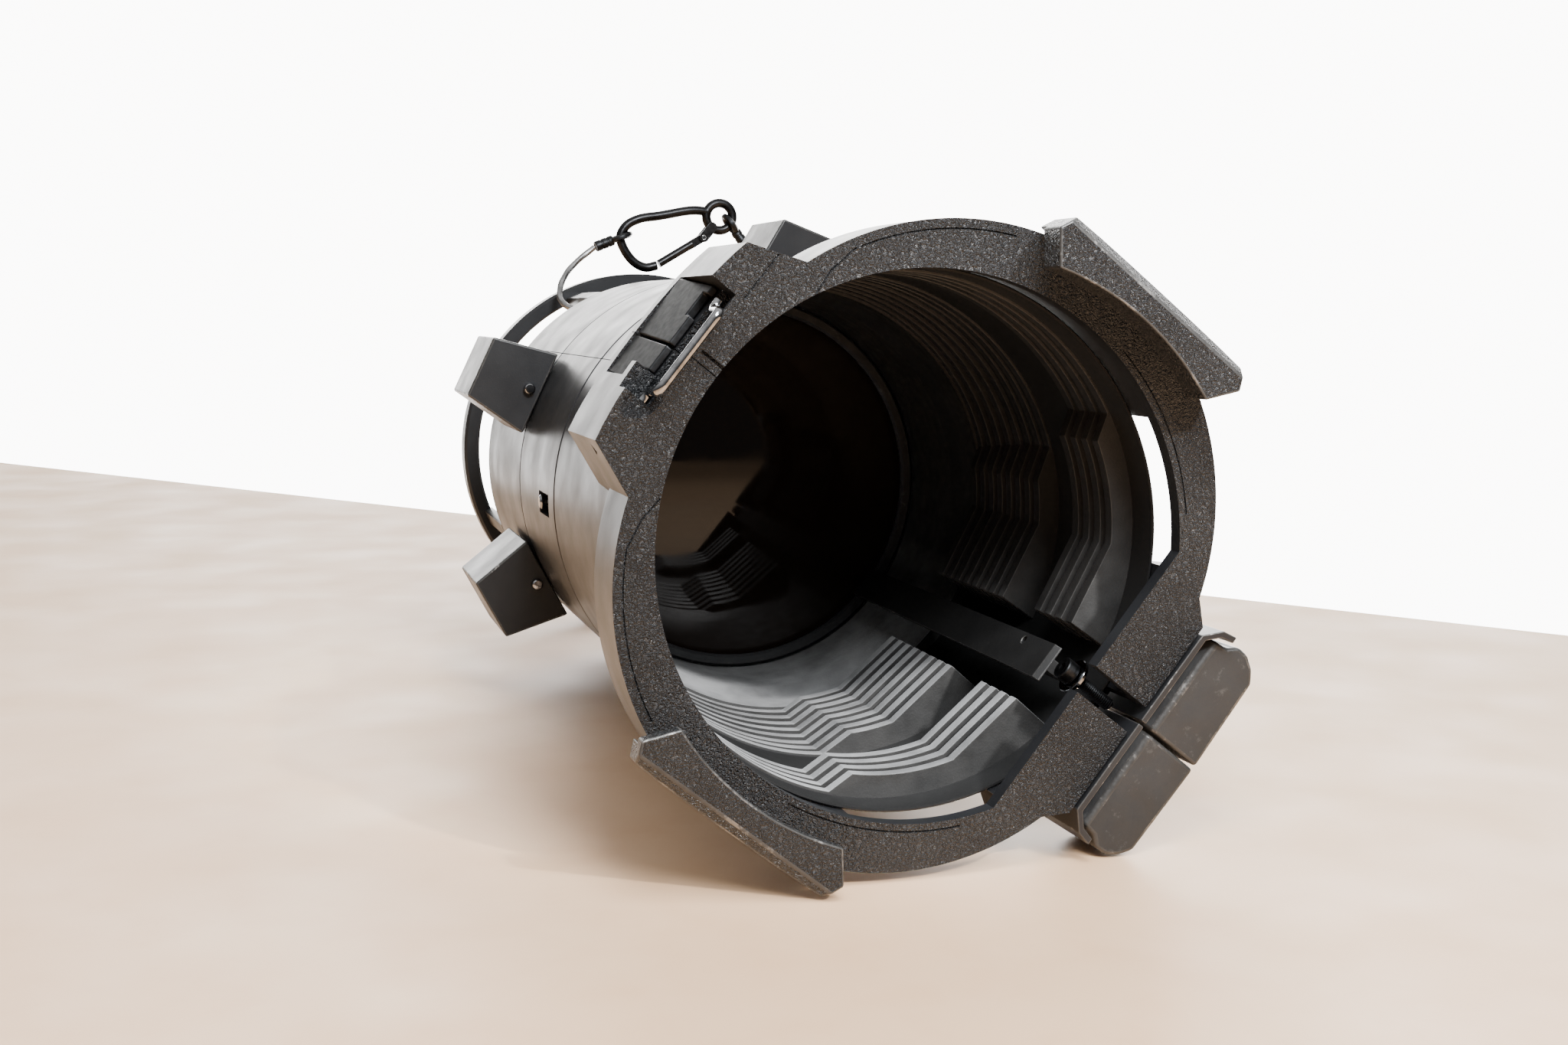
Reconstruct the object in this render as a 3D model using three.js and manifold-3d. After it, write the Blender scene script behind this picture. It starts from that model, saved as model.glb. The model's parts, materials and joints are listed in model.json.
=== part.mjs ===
// Lens tube of a theatre ellipsoidal spotlight, with its barrel, lying on its side as it rests on a table.
// Millimetres, +Z up. The tube's front faces -Y. In the tube's own frame s runs back along its axis from
// the face of the front ring, x points to the right finger and z to the latch block. The castings are
// split in halves on the plane x = 0.
import * as THREE from "three";
import { mergeVertices } from "three/addons/utils/BufferGeometryUtils.js";
import Module from "manifold-3d";

const wasm = await Module();
wasm.setup();

// How it lies: rolled about its axis on one finger and one bumper, with the rear ring on the table.
const ROLL_DEG = -51.3;
const TILT_DEG = -1.69;

// Fits between pieces.
const GAP = 0.3;
const SEAM = 0.15; // half of the parting gap between casting halves
const BITE = 0.1; // how far joined solids run into each other

// Front ring.
const APERTURE_R = 76.7;
const OUTLINE_R = 80.6; // radius of each half's outline
const OUTLINE_OFFSET = 12; // how far that outline's centre lies out from the seam
const FACE_T = 5;
const COLLAR_END = 25;
const COLLAR_BORE_R = 78.4;
const NOTCH_X = 38.9; // where the outline meets the latch block and the bottom bracket
const NOTCH_Z = 76;
const CHORD_Z = -62; // straight lower edge of the aperture
const BRACKET_Z = -82.5;
const BRACKET_HALF = 33;
const SCREW_NOTCH_HALF = 4.5;
const SCREW_NOTCH_END = 22;

// Latch block on top of the ring, with a crowned top and a pocket for the latch plates.
const BLOCK_CREST = 94.8;
const BLOCK_SHOULDER = [20, 94];
const BLOCK_EDGE = [32.5, 92];
const BLOCK_FOOT_Z = 68;
const BLOCK_END = 40;
const POCKET_REACH = { right: 20, left: 13.5 }; // from the seam
const POCKET_FLOOR = 88;
const POCKET_START = 9;
const POCKET_END = 35;
const LUG_REACH = 9; // a lug on the left half narrows the pocket's front to this
const LUG_START = 7.6;
const LUG_END = 13;
const PLATE_INSET = 0.4;
const PLATE_TOP = 90.6;

// Retaining bail, hinged in a notch in front of the latch plates.
const BAIL_NOTCH_FLOOR = 82.5;
const BAIL_NOTCH_HALF = 17;
const BAIL_Z = 87.5;
const BAIL_PIVOT_S = 4;
const BAIL_FRONT_S = -4.6;
const BAIL_HALF = 13.3;
const BAIL_R = 1.4;
const BAIL_BEND = 2.6;

// Openings in the collar, either side of the bottom bracket.
const WINDOW_FROM_DEG = -58;
const WINDOW_TO_DEG = -25;

// Colour-frame fingers: a wall on the ring's edge, and a lip with a hollowed inner edge in front of it.
const FINGER_OUTER = [[92.7, -32.6], [93.4, -12], [93.4, 12], [92.7, 32.6]];
const FINGER_END = [86.9, 35.4];
const FINGER_LIP_IN_R = 83.5;
const FINGER_LIP_HALF = 28.5;
const FINGER_WALL_IN = 88;
const FINGER_FRONT = { right: -16, left: -10 };
const FINGER_RISE = { right: -4.3, left: 1 }; // of its middle, from the ring's
const FINGER_LIP_BACK = -5.3;
const FINGER_BEVEL = 4;

// Bumpers and their lip.
const LIP_Z = -83.3;
const LIP_T = 2;
const LIP_HALF = 36;
const LIP_RETURN_Z = -93;
const LIP_START = -1;
const LIP_END = 28;
const BUMPER_IN = 0.5;
const BUMPER_START = 3;
const BUMPER_END = 27;
const BUMPER_BEVEL = 5;
const BUMPER_CORNERS = [
  [28.5, LIP_Z - LIP_T - GAP], [33, -89.5], [33.7, -95], [36.2, -98], [36, -102], [33.6, -105.9], [30, -108.6],
];
const BUMPER_Z = -109.4;

// Lens tube.
const TUBE_START = 17;
const TUBE_END = 150;
const TUBE_R = 78;
const TUBE_BORE_R = 73;
const NECK_R = 74.6;
const NECK_BORE_R = 70.6;
const NECK_END = 262;

// Strip along the inside of the lower seam, and the screw that clamps the halves at its front.
const STRIP_HALF = 6;
const STRIP_T = 2;
const STRIP_WEB_HALF = 2;
const STRIP_START = 27;
const STRIP_END = 192;
const CLAMP_S = 14;
const CLAMP_HEAD = { r: 3.5, from: 60.4, to: 64.6 }; // distances below the axis
const CLAMP_SHANK = { r: 2, to: 80.5 };
const CLAMP_SOCKET = { r: 1.6, to: 62.4 };
const WASHER = { in: 2.3, out: 5.5, from: 64.9, to: 66.1 };

// Lenses.
const LENS_R = 69.8;
const LENS_FRONT = 202.2;
const LENS_EDGE_T = 8;
const LENS_SAG = 14;
const LENS_RING_IN = 66;
const LENS_RING_OUT = 70.3;
const LENS_RING_T = 3;
const GASKET_CLEARANCE = 1.8; // the lens already bulges this far forward at the gasket's inner edge
const REAR_LENS_R = 33.5;
const REAR_LENS_START = 228;
const REAR_LENS_EDGE_T = 5;
const REAR_LENS_SAG = 6;
const CARRIER_START = 229;
const CARRIER_T = 3;

// Barrel, with the slot its guide screw runs in, and the rear ring on four spokes.
const BARREL_START = 151.5;
const BARREL_END = 320;
const BARREL_R = 78;
const BARREL_BORE_R = 75.5;
const GROOVE_S = 229;
const GROOVE_HALF = 0.8;
const GROOVE_DEPTH = 1;
const SLOT_DEG = 182; // in the lying position
const SLOT_HALF = 4;
const SLOT_START = 163;
const SLOT_END = 183;
const GUIDE_SCREW_S = 179.5;
const GUIDE_SCREW = { headR: 2.6, shankR: 1.5, from: 74.9, neck: 76.2, to: 78.6 };
const RING_START = 375;
const RING_END = 387;
const RING_R = 81.8;
const RING_IN_R = 75;
const SPOKE_DEG = [203, 293, 23, 113]; // in the lying position
const SPOKE_HALF = 3.5;
const SPOKE_IN_R = 74;

// Fins round the barrel.
const FIN_DEG = [154.5, 208, 320, 69]; // in the lying position
const FIN_START = 222;
const FIN_END = 268;
const FIN_ROOT_HALF = 16.5;
const FIN_TIP_HALF = 12;
const FIN_TIP_R = 103;
const FIN_SCREW_AT_R = 83;
const FIN_SCREW_R = 2.2;
const FIN_SCREW_HEAD = 2.6;

// Carabiner, drawn in the plane s = HOOK_S as (x, z) about the axis in the lying position.
const HOOK_S = 379;
const HOOK_R = 2.2;
// Its middle line from the captive eye round the bend to the nose.
const HOOK_ROUTE = [
  [34.9, 111.3], [28, 111.8], [12.1, 109.1], [1.9, 107.4], [-4.1, 104.2], [-7, 99], [-4.9, 92.6],
  [-0.1, 87], [5, 84.9], [9.6, 85.6],
];
const EYE = [40.9, 109];
const EYE_R = 6.4;
const GATE_PIVOT = [32.8, 99.2];
const GATE_SHOULDER = [26, 95.2];
const GATE_NOSE = [11.9, 87];
const GATE_R = 1.9;
const GATE_BLADE_HALF_T = 1.2;
const CHEEK_TOP = [36.9, 104];
const CHEEK_IN = 1.5;
const CHEEK_OUT = 2.4;
const CHEEK_HALF = 2.3;
const PIN_R = 0.8;
const PIN_HOLE_R = 1.1;

// Safety cable. Each end is crimped into a loop: one closes in the captive eye, the other round the hook.
const CABLE_R = 1.4;
const CABLE_END_GAP = 0.8; // the cable meets its sleeve at a slight angle
const LOOP_R = 4.6;
const SLEEVE_R = 2.5;
const SLEEVE_LENGTH = 9;
const SLEEVE_BITE = 0.6;
const EYE_LOOP = { centre: new THREE.Vector3(46.2, HOOK_S, 105.4), out: new THREE.Vector3(-0.56, 0.2, 0.8) };
const HOOK_LOOP = { centre: new THREE.Vector3(-7, HOOK_S, 98.8), out: new THREE.Vector3(0.93, 0.12, 0.35) };
// Between the loops it dips through the gap between the barrel and the rear ring, as (x, s, z) about the axis.
const CABLE_ROUTE = [
  [54.6, 374.5, 91.5], [56.4, 371, 86], [56.8, 366, 78], [54.5, 361, 69.5], [49.8, 357, 62], [42, 353.5, 58],
  [31, 351, 60], [17, 350, 64.5], [2, 350, 67.3], [-13, 351, 67.4], [-26, 353.5, 65.4], [-34.2, 357.5, 65.8],
  [-38.2, 362.5, 69.5], [-37.6, 367.5, 75.4], [-34.2, 371.5, 81.5], [-29, 375, 86.8],
];

const SIDES = 64; // of anything turned about the tube's axis
const FAR = 200; // beyond the part's width
const SIDE_NAMES = [["right", 1], ["left", -1]];

const castBlack = new THREE.MeshStandardMaterial({ color: 0x1c1c1d, roughness: 0.5, metalness: 0.1 });
const darkSteel = new THREE.MeshStandardMaterial({ color: 0x3a3a3c, roughness: 0.35, metalness: 0.9 });
const chrome = new THREE.MeshStandardMaterial({ color: 0xc8c8cc, roughness: 0.12, metalness: 1 });
const rubber = new THREE.MeshStandardMaterial({ color: 0x19191a, roughness: 0.8, metalness: 0 });
const glass = new THREE.MeshStandardMaterial({ color: 0x2a2018, roughness: 0.05, metalness: 0 });
const cableSteel = new THREE.MeshStandardMaterial({ color: 0x4a4a4a, roughness: 0.4, metalness: 0.8 });

const tube = new THREE.Group(); // the tube's own frame
tube.rotation.set(0, THREE.MathUtils.degToRad(ROLL_DEG), 0);
const asItLies = new THREE.Group(); // the same frame before the roll
const lying = new THREE.Group();
lying.rotation.set(THREE.MathUtils.degToRad(TILT_DEG), 0, 0);
lying.add(tube, asItLies);

// --- solids ---------------------------------------------------------------------------------------

function solid(geometry) {
  const bare = geometry.clone();
  bare.deleteAttribute("normal");
  bare.deleteAttribute("uv");
  const merged = mergeVertices(bare, 1e-4);
  const triVerts = new Uint32Array(merged.index.array);
  const vertProperties = new Float32Array(merged.attributes.position.array);
  const made = new wasm.Manifold(new wasm.Mesh({ numProp: 3, vertProperties, triVerts }));
  if (made.volume() >= 0) return made;
  for (let i = 0; i < triVerts.length; i += 3) {
    [triVerts[i + 1], triVerts[i + 2]] = [triVerts[i + 2], triVerts[i + 1]];
  }
  return new wasm.Manifold(new wasm.Mesh({ numProp: 3, vertProperties, triVerts }));
}

function geometryOf(manifold) {
  const mesh = manifold.getMesh();
  const geometry = new THREE.BufferGeometry();
  geometry.setAttribute("position", new THREE.BufferAttribute(new Float32Array(mesh.vertProperties), 3));
  geometry.setIndex(new THREE.BufferAttribute(new Uint32Array(mesh.triVerts), 1));
  const faceted = geometry.toNonIndexed();
  faceted.computeVertexNormals();
  return faceted;
}

// A closed (radius, s) profile turned about the tube's axis.
function revolve(profile, sides = SIDES) {
  const points = profile.map(([r, s]) => new THREE.Vector2(r, s));
  if (profile[0][0] > 0) points.push(points[0].clone());
  return solid(new THREE.LatheGeometry(points, sides));
}

// A shape drawn in (x, z), taken along the axis from one s to another.
function prism(shape, from, to, curveSegments = 24) {
  const geometry = new THREE.ExtrudeGeometry(shape, { depth: to - from, bevelEnabled: false, curveSegments });
  return solid(geometry.rotateX(Math.PI / 2).translate(0, to, 0));
}

function polygon(points) {
  return new THREE.Shape(points.map(([x, z]) => new THREE.Vector2(x, z)));
}

function block(x0, x1, s0, s1, z0, z1) {
  const geometry = new THREE.BoxGeometry(x1 - x0, s1 - s0, z1 - z0);
  return solid(geometry.translate((x0 + x1) / 2, (s0 + s1) / 2, (z0 + z1) / 2));
}

function ringSector(inner, outer, fromDeg, toDeg, from, to) {
  const a = THREE.MathUtils.degToRad(fromDeg);
  const b = THREE.MathUtils.degToRad(toDeg);
  const shape = new THREE.Shape();
  shape.absarc(0, 0, outer, a, b, false);
  shape.absarc(0, 0, inner, b, a, true);
  return prism(shape, from, to, 16);
}

function hexagon(r) {
  const corners = [0, 1, 2, 3, 4, 5].map((i) => (i * Math.PI) / 3);
  return polygon(corners.map((angle) => [r * Math.cos(angle), r * Math.sin(angle)]));
}

// A round wire of radius r along a smooth or cornered path.
function wire(path, r, steps, sides = 8) {
  const section = new THREE.Shape();
  for (let i = 0; i < sides; i += 1) {
    const angle = (2 * Math.PI * i) / sides;
    const x = r * Math.cos(angle);
    const y = r * Math.sin(angle);
    if (i === 0) section.moveTo(x, y);
    else section.lineTo(x, y);
  }
  return solid(new THREE.ExtrudeGeometry(section, { steps, extrudePath: path, bevelEnabled: false }));
}

// Points of a spherical cap from the axis to the rim, bulging towards smaller s when sag is positive.
function cap(rimR, rimS, sag, steps = 8) {
  return Array.from({ length: steps + 1 }, (_, i) => {
    const r = (rimR * i) / steps;
    return [r, rimS - sag * (1 - (r / rimR) ** 2)];
  });
}

// A flat bar with round ends from one (x, z) point to another.
function bar(from, to, half, s0, s1) {
  const angle = Math.atan2(to[1] - from[1], to[0] - from[0]);
  const shape = new THREE.Shape();
  shape.absarc(to[0], to[1], half, angle - Math.PI / 2, angle + Math.PI / 2, false);
  shape.absarc(from[0], from[1], half, angle + Math.PI / 2, angle + (3 * Math.PI) / 2, false);
  return prism(shape, s0, s1, 8);
}

function disc([x, z], r, s0, s1) {
  const shape = new THREE.Shape();
  shape.absarc(x, z, r, 0, 2 * Math.PI, false);
  return prism(shape, s0, s1, 8);
}

function add(name, manifold, material, parent = tube) {
  const mesh = new THREE.Mesh(geometryOf(manifold), material);
  mesh.name = name;
  parent.add(mesh);
  return mesh;
}

// The half of a solid on the right (side 1) or the left (side -1) of the seam.
function halfOf(whole, side) {
  const x0 = side > 0 ? SEAM : -FAR;
  const x1 = side > 0 ? FAR : -SEAM;
  return whole.intersect(block(x0, x1, -FAR, 3 * FAR, -FAR, FAR));
}

function mirrored(manifold, side) {
  return side > 0 ? manifold : manifold.mirror([1, 0, 0]);
}

// An angle about the axis as it lies, in the tube's own frame.
function ownAngle(lyingDeg) {
  return THREE.MathUtils.degToRad(lyingDeg + ROLL_DEG);
}

// Turns a solid drawn at the +x side to an angle about the axis.
function turned(manifold, angle) {
  return manifold.rotate([0, -THREE.MathUtils.radToDeg(angle), 0]);
}

// --- front ring, right half; the left half is its mirror image ---------------------------------------

function blockTop(shape) {
  shape.moveTo(SEAM, BLOCK_CREST);
  shape.lineTo(...BLOCK_SHOULDER);
  shape.lineTo(...BLOCK_EDGE);
  shape.lineTo(NOTCH_X, NOTCH_Z);
}

function ringOutline(shape) {
  const notch = Math.atan2(NOTCH_Z, NOTCH_X - OUTLINE_OFFSET);
  blockTop(shape);
  shape.absarc(OUTLINE_OFFSET, 0, OUTLINE_R, notch, -notch, true);
  shape.lineTo(BRACKET_HALF, BRACKET_Z);
  shape.lineTo(SEAM, BRACKET_Z);
}

function facePlate() {
  const chordX = Math.sqrt(APERTURE_R ** 2 - CHORD_Z ** 2);
  const shape = new THREE.Shape();
  ringOutline(shape);
  shape.lineTo(SEAM, CHORD_Z);
  shape.lineTo(chordX, CHORD_Z);
  shape.absarc(0, 0, APERTURE_R, Math.atan2(CHORD_Z, chordX), Math.acos(SEAM / APERTURE_R), false);
  return prism(shape, 0, FACE_T);
}

function collarWall() {
  const end = Math.acos(SEAM / COLLAR_BORE_R);
  const shape = new THREE.Shape();
  ringOutline(shape);
  shape.absarc(0, 0, COLLAR_BORE_R, -end, end, false);
  return prism(shape, FACE_T - BITE, COLLAR_END);
}

function latchBlock() {
  const foot = Math.atan2(BLOCK_FOOT_Z, NOTCH_X);
  const shape = new THREE.Shape();
  blockTop(shape);
  shape.absarc(0, 0, COLLAR_BORE_R, foot, Math.acos(SEAM / COLLAR_BORE_R), false);
  return prism(shape, COLLAR_END - BITE, BLOCK_END);
}

// The latch pocket and the notch for the bail in front of it.
function pocketCuts(name) {
  const above = BLOCK_CREST + 1;
  const reach = POCKET_REACH[name];
  const notchReach = Math.max(reach, BAIL_NOTCH_HALF);
  const plateFront = LUG_START - BITE;
  const notch = block(-1, notchReach, -1, LUG_START, BAIL_NOTCH_FLOOR, above);
  const underLug = block(-1, BAIL_NOTCH_HALF, plateFront, POCKET_START, BAIL_NOTCH_FLOOR, POCKET_FLOOR + BITE);
  const frontReach = name === "left" ? LUG_REACH : reach;
  const front = block(-1, frontReach, plateFront, LUG_END, POCKET_FLOOR, above);
  const back = block(-1, reach, LUG_END - BITE, POCKET_END, POCKET_FLOOR, above);
  return [notch, underLug, front, back];
}

function addFrontRing(name, side) {
  const cuts = [
    ...pocketCuts(name),
    block(-1, SCREW_NOTCH_HALF, -1, SCREW_NOTCH_END, BRACKET_Z - 1, CHORD_Z + 1),
    ringSector(COLLAR_BORE_R - 3, FAR / 2, WINDOW_FROM_DEG, WINDOW_TO_DEG, FACE_T, COLLAR_END + 1),
  ];
  const uncut = facePlate().add(collarWall()).add(latchBlock());
  const half = cuts.reduce((rest, cut) => rest.subtract(cut), uncut);
  add("front_ring_" + name, mirrored(half, side), castBlack);
}

function addLatchPlate(name, side) {
  const reach = POCKET_REACH[name] - PLATE_INSET;
  const start = POCKET_START + PLATE_INSET;
  const end = POCKET_END - PLATE_INSET;
  let plate = block(PLATE_INSET, reach, start, end, POCKET_FLOOR + GAP, PLATE_TOP);
  if (name === "left") {
    const lugEnd = LUG_END + PLATE_INSET;
    plate = plate.subtract(block(LUG_REACH - PLATE_INSET, reach + 1, 0, lugEnd, POCKET_FLOOR, BLOCK_CREST));
  }
  add("latch_plate_" + name, mirrored(plate, side), darkSteel);
}

function fingerOutline() {
  const [endX, endZ] = FINGER_END;
  const reach = Math.asin(FINGER_LIP_HALF / FINGER_LIP_IN_R);
  const shape = new THREE.Shape();
  shape.moveTo(endX, -endZ);
  for (const [x, z] of FINGER_OUTER) shape.lineTo(x, z);
  shape.lineTo(endX, endZ);
  shape.absarc(0, 0, FINGER_LIP_IN_R, reach, -reach, true);
  return shape;
}

function addFinger(name, side) {
  const front = FINGER_FRONT[name];
  const out = FINGER_OUTER[1][0];
  const channel = block(FAR / 4, FINGER_WALL_IN, FINGER_LIP_BACK, 1, -FAR / 4, FAR / 4);
  const bevel = polygon([[out - FINGER_BEVEL, front - 1], [out + 2, front - 1], [out + 2, front + FINGER_BEVEL + 1]]);
  const bevelCut = new THREE.ExtrudeGeometry(bevel, { depth: FAR / 2, bevelEnabled: false });
  const half = prism(fingerOutline(), front, -GAP, 8)
    .subtract(channel)
    .subtract(solid(bevelCut.translate(0, 0, -FAR / 4)));
  add("finger_" + name, mirrored(half.translate([0, 0, FINGER_RISE[name]]), side), castBlack);
}

function addLip(name, side) {
  const outline = polygon([
    [BUMPER_IN, LIP_Z], [LIP_HALF - 5, LIP_Z], [LIP_HALF, LIP_Z - 5], [LIP_HALF + 1, LIP_RETURN_Z],
    [LIP_HALF + 1 - LIP_T, LIP_RETURN_Z], [LIP_HALF - LIP_T, LIP_Z - 5.5],
    [LIP_HALF - 5.6, LIP_Z - LIP_T], [BUMPER_IN, LIP_Z - LIP_T],
  ]);
  add("bracket_lip_" + name, mirrored(prism(outline, LIP_START, LIP_END), side), castBlack);
}

function addBumper(name, side) {
  const top = BUMPER_CORNERS[0][1];
  const outline = polygon([[BUMPER_IN, top], ...BUMPER_CORNERS, [BUMPER_IN, BUMPER_Z]]);
  const bevel = polygon([
    [top + 1, BUMPER_START - 1], [top - BUMPER_BEVEL - 1, BUMPER_START - 1],
    [top + 1, BUMPER_START + BUMPER_BEVEL + 2],
  ]);
  const across = new THREE.Matrix4().makeBasis(
    new THREE.Vector3(0, 0, 1), new THREE.Vector3(0, 1, 0), new THREE.Vector3(-1, 0, 0),
  );
  const bevelCut = new THREE.ExtrudeGeometry(bevel, { depth: FAR / 2, bevelEnabled: false });
  bevelCut.applyMatrix4(across).translate(FAR / 4, 0, 0);
  const body = prism(outline, BUMPER_START, BUMPER_END).subtract(solid(bevelCut));
  add("bumper_" + name, mirrored(body, side), rubber);
}

// A bent wire: a crossbar in front of the ring, two legs back, and their ends turned out into the notch.
function addBail() {
  const end = BAIL_NOTCH_HALF - GAP;
  const at = (x, s) => new THREE.Vector3(x, s, BAIL_Z);
  const corners = [
    at(-end, BAIL_PIVOT_S), at(-BAIL_HALF, BAIL_PIVOT_S), at(-BAIL_HALF, BAIL_FRONT_S),
    at(BAIL_HALF, BAIL_FRONT_S), at(BAIL_HALF, BAIL_PIVOT_S), at(end, BAIL_PIVOT_S),
  ];
  const path = new THREE.CurvePath();
  let from = corners[0];
  for (let i = 1; i < corners.length - 1; i += 1) {
    const [before, corner, after] = [corners[i - 1], corners[i], corners[i + 1]];
    const into = corner.clone().sub(before).setLength(BAIL_BEND).negate().add(corner);
    const out = after.clone().sub(corner).setLength(BAIL_BEND).add(corner);
    path.add(new THREE.LineCurve3(from, into));
    path.add(new THREE.QuadraticBezierCurve3(into, corner, out));
    from = out;
  }
  path.add(new THREE.LineCurve3(from, corners.at(-1)));
  add("retaining_bail", wire(path, BAIL_R, 44), chrome);
}

// --- lens tube -------------------------------------------------------------------------------------

function addTubeHalf(name, side) {
  const whole = revolve([
    [TUBE_BORE_R, TUBE_START], [TUBE_R, TUBE_START], [TUBE_R, TUBE_END], [NECK_R, TUBE_END],
    [NECK_R, NECK_END], [NECK_BORE_R, NECK_END], [NECK_BORE_R, TUBE_END + 8], [TUBE_BORE_R, TUBE_END + 4],
  ]);
  add("tube_half_" + name, halfOf(whole, side), castBlack);
}

function addSeamStrip() {
  const low = CHORD_Z - STRIP_T;
  const strip = block(-STRIP_HALF, STRIP_HALF, STRIP_START, STRIP_END, low, CHORD_Z);
  const web = block(-STRIP_WEB_HALF, STRIP_WEB_HALF, STRIP_START, STRIP_END, -NECK_BORE_R + 0.6, low + BITE);
  add("seam_strip", strip.add(web), castBlack);
}

function addClampScrew() {
  const upright = (manifold) => manifold.rotate([-90, 0, 0]).translate([0, CLAMP_S, 0]);
  const screw = revolve([
    [0, CLAMP_HEAD.from], [CLAMP_HEAD.r, CLAMP_HEAD.from], [CLAMP_HEAD.r, CLAMP_HEAD.to],
    [CLAMP_SHANK.r, CLAMP_HEAD.to], [CLAMP_SHANK.r, CLAMP_SHANK.to], [0, CLAMP_SHANK.to],
  ], 24);
  const socket = prism(hexagon(CLAMP_SOCKET.r), CLAMP_HEAD.from - 1, CLAMP_SOCKET.to);
  const washer = revolve([
    [WASHER.in, WASHER.from], [WASHER.out, WASHER.from], [WASHER.out, WASHER.to], [WASHER.in, WASHER.to],
  ], 24);
  add("clamp_screw", upright(screw.subtract(socket)), darkSteel);
  add("clamp_washer", upright(washer), chrome);
}

function lensRing(s) {
  return revolve([
    [LENS_RING_IN, s], [LENS_RING_OUT, s], [LENS_RING_OUT, s + LENS_RING_T], [LENS_RING_IN, s + LENS_RING_T],
  ]);
}

function addFrontLens() {
  const back = LENS_FRONT + LENS_EDGE_T;
  add("front_lens", revolve([...cap(LENS_R, LENS_FRONT, LENS_SAG), [LENS_R, back], [0, back]]), glass);
  add("lens_gasket", lensRing(LENS_FRONT - LENS_RING_T - GASKET_CLEARANCE), rubber);
  add("lens_retainer", lensRing(back + GAP), darkSteel);
}

function addRearLens() {
  const back = REAR_LENS_START + REAR_LENS_EDGE_T;
  const frontFace = cap(REAR_LENS_R, REAR_LENS_START, REAR_LENS_SAG);
  const rearFace = cap(REAR_LENS_R, back, -REAR_LENS_SAG).reverse();
  add("rear_lens", revolve([...frontFace, ...rearFace], 48), glass);
  const inner = REAR_LENS_R + GAP;
  const carrierEnd = CARRIER_START + CARRIER_T;
  add("rear_lens_carrier", revolve([
    [inner, CARRIER_START], [LENS_RING_OUT, CARRIER_START], [LENS_RING_OUT, carrierEnd], [inner, carrierEnd],
  ]), castBlack);
}

// --- barrel ----------------------------------------------------------------------------------------

function addBarrelHalf(name, side) {
  const grooveR = BARREL_R - GROOVE_DEPTH;
  const whole = revolve([
    [BARREL_BORE_R, BARREL_START], [BARREL_R, BARREL_START], [BARREL_R, GROOVE_S - GROOVE_HALF],
    [grooveR, GROOVE_S - GROOVE_HALF], [grooveR, GROOVE_S + GROOVE_HALF], [BARREL_R, GROOVE_S + GROOVE_HALF],
    [BARREL_R, BARREL_END], [BARREL_BORE_R, BARREL_END],
  ]);
  const slot = block(BARREL_R - 15, BARREL_R + 15, SLOT_START, SLOT_END, -SLOT_HALF, SLOT_HALF);
  add("barrel_half_" + name, halfOf(whole.subtract(turned(slot, ownAngle(SLOT_DEG))), side), castBlack);
}

function addGuideScrew() {
  const { headR, shankR, from, neck, to } = GUIDE_SCREW;
  const profile = [[0, from], [shankR, from], [shankR, neck], [headR, neck], [headR, to], [0, to]];
  const screw = revolve(profile, 16).rotate([0, 0, -90]).translate([0, GUIDE_SCREW_S, 0]);
  add("guide_screw", turned(screw, ownAngle(SLOT_DEG)), darkSteel);
}

function addRearRing() {
  let ring = revolve([
    [RING_IN_R, RING_START], [RING_R, RING_START], [RING_R, RING_END], [RING_IN_R, RING_END],
  ]);
  const spoke = block(SPOKE_IN_R, BARREL_R, BARREL_END + GAP, RING_START + 1, -SPOKE_HALF, SPOKE_HALF);
  for (const deg of SPOKE_DEG) ring = ring.add(turned(spoke, ownAngle(deg)));
  add("rear_ring", ring, castBlack);
}

function addFins() {
  const root = BARREL_R + GAP;
  const fin = prism(polygon([
    [root, -FIN_ROOT_HALF], [FIN_TIP_R, -FIN_TIP_HALF], [FIN_TIP_R, FIN_TIP_HALF], [root, FIN_ROOT_HALF],
  ]), FIN_START, FIN_END);
  const screwFront = FIN_START - FIN_SCREW_HEAD;
  const screw = revolve([
    [0, screwFront], [FIN_SCREW_R, screwFront], [FIN_SCREW_R, FIN_START - GAP], [0, FIN_START - GAP],
  ], 16).translate([FIN_SCREW_AT_R, 0, 0]);
  FIN_DEG.forEach((deg, i) => {
    add("fin_" + (i + 1), turned(fin, ownAngle(deg)), castBlack);
    add("fin_screw_" + (i + 1), turned(screw, ownAngle(deg)), chrome);
  });
}

// --- carabiner and safety cable ----------------------------------------------------------------------

function hookPoint([x, z]) {
  return new THREE.Vector3(x, HOOK_S, z);
}

function pinHole() {
  return disc(GATE_PIVOT, PIN_HOLE_R, HOOK_S - 5, HOOK_S + 5);
}

function hookCheek(side) {
  const faces = [HOOK_S + side * CHEEK_IN, HOOK_S + side * CHEEK_OUT].sort((a, b) => a - b);
  return bar(CHEEK_TOP, GATE_PIVOT, CHEEK_HALF, ...faces).subtract(pinHole());
}

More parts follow.
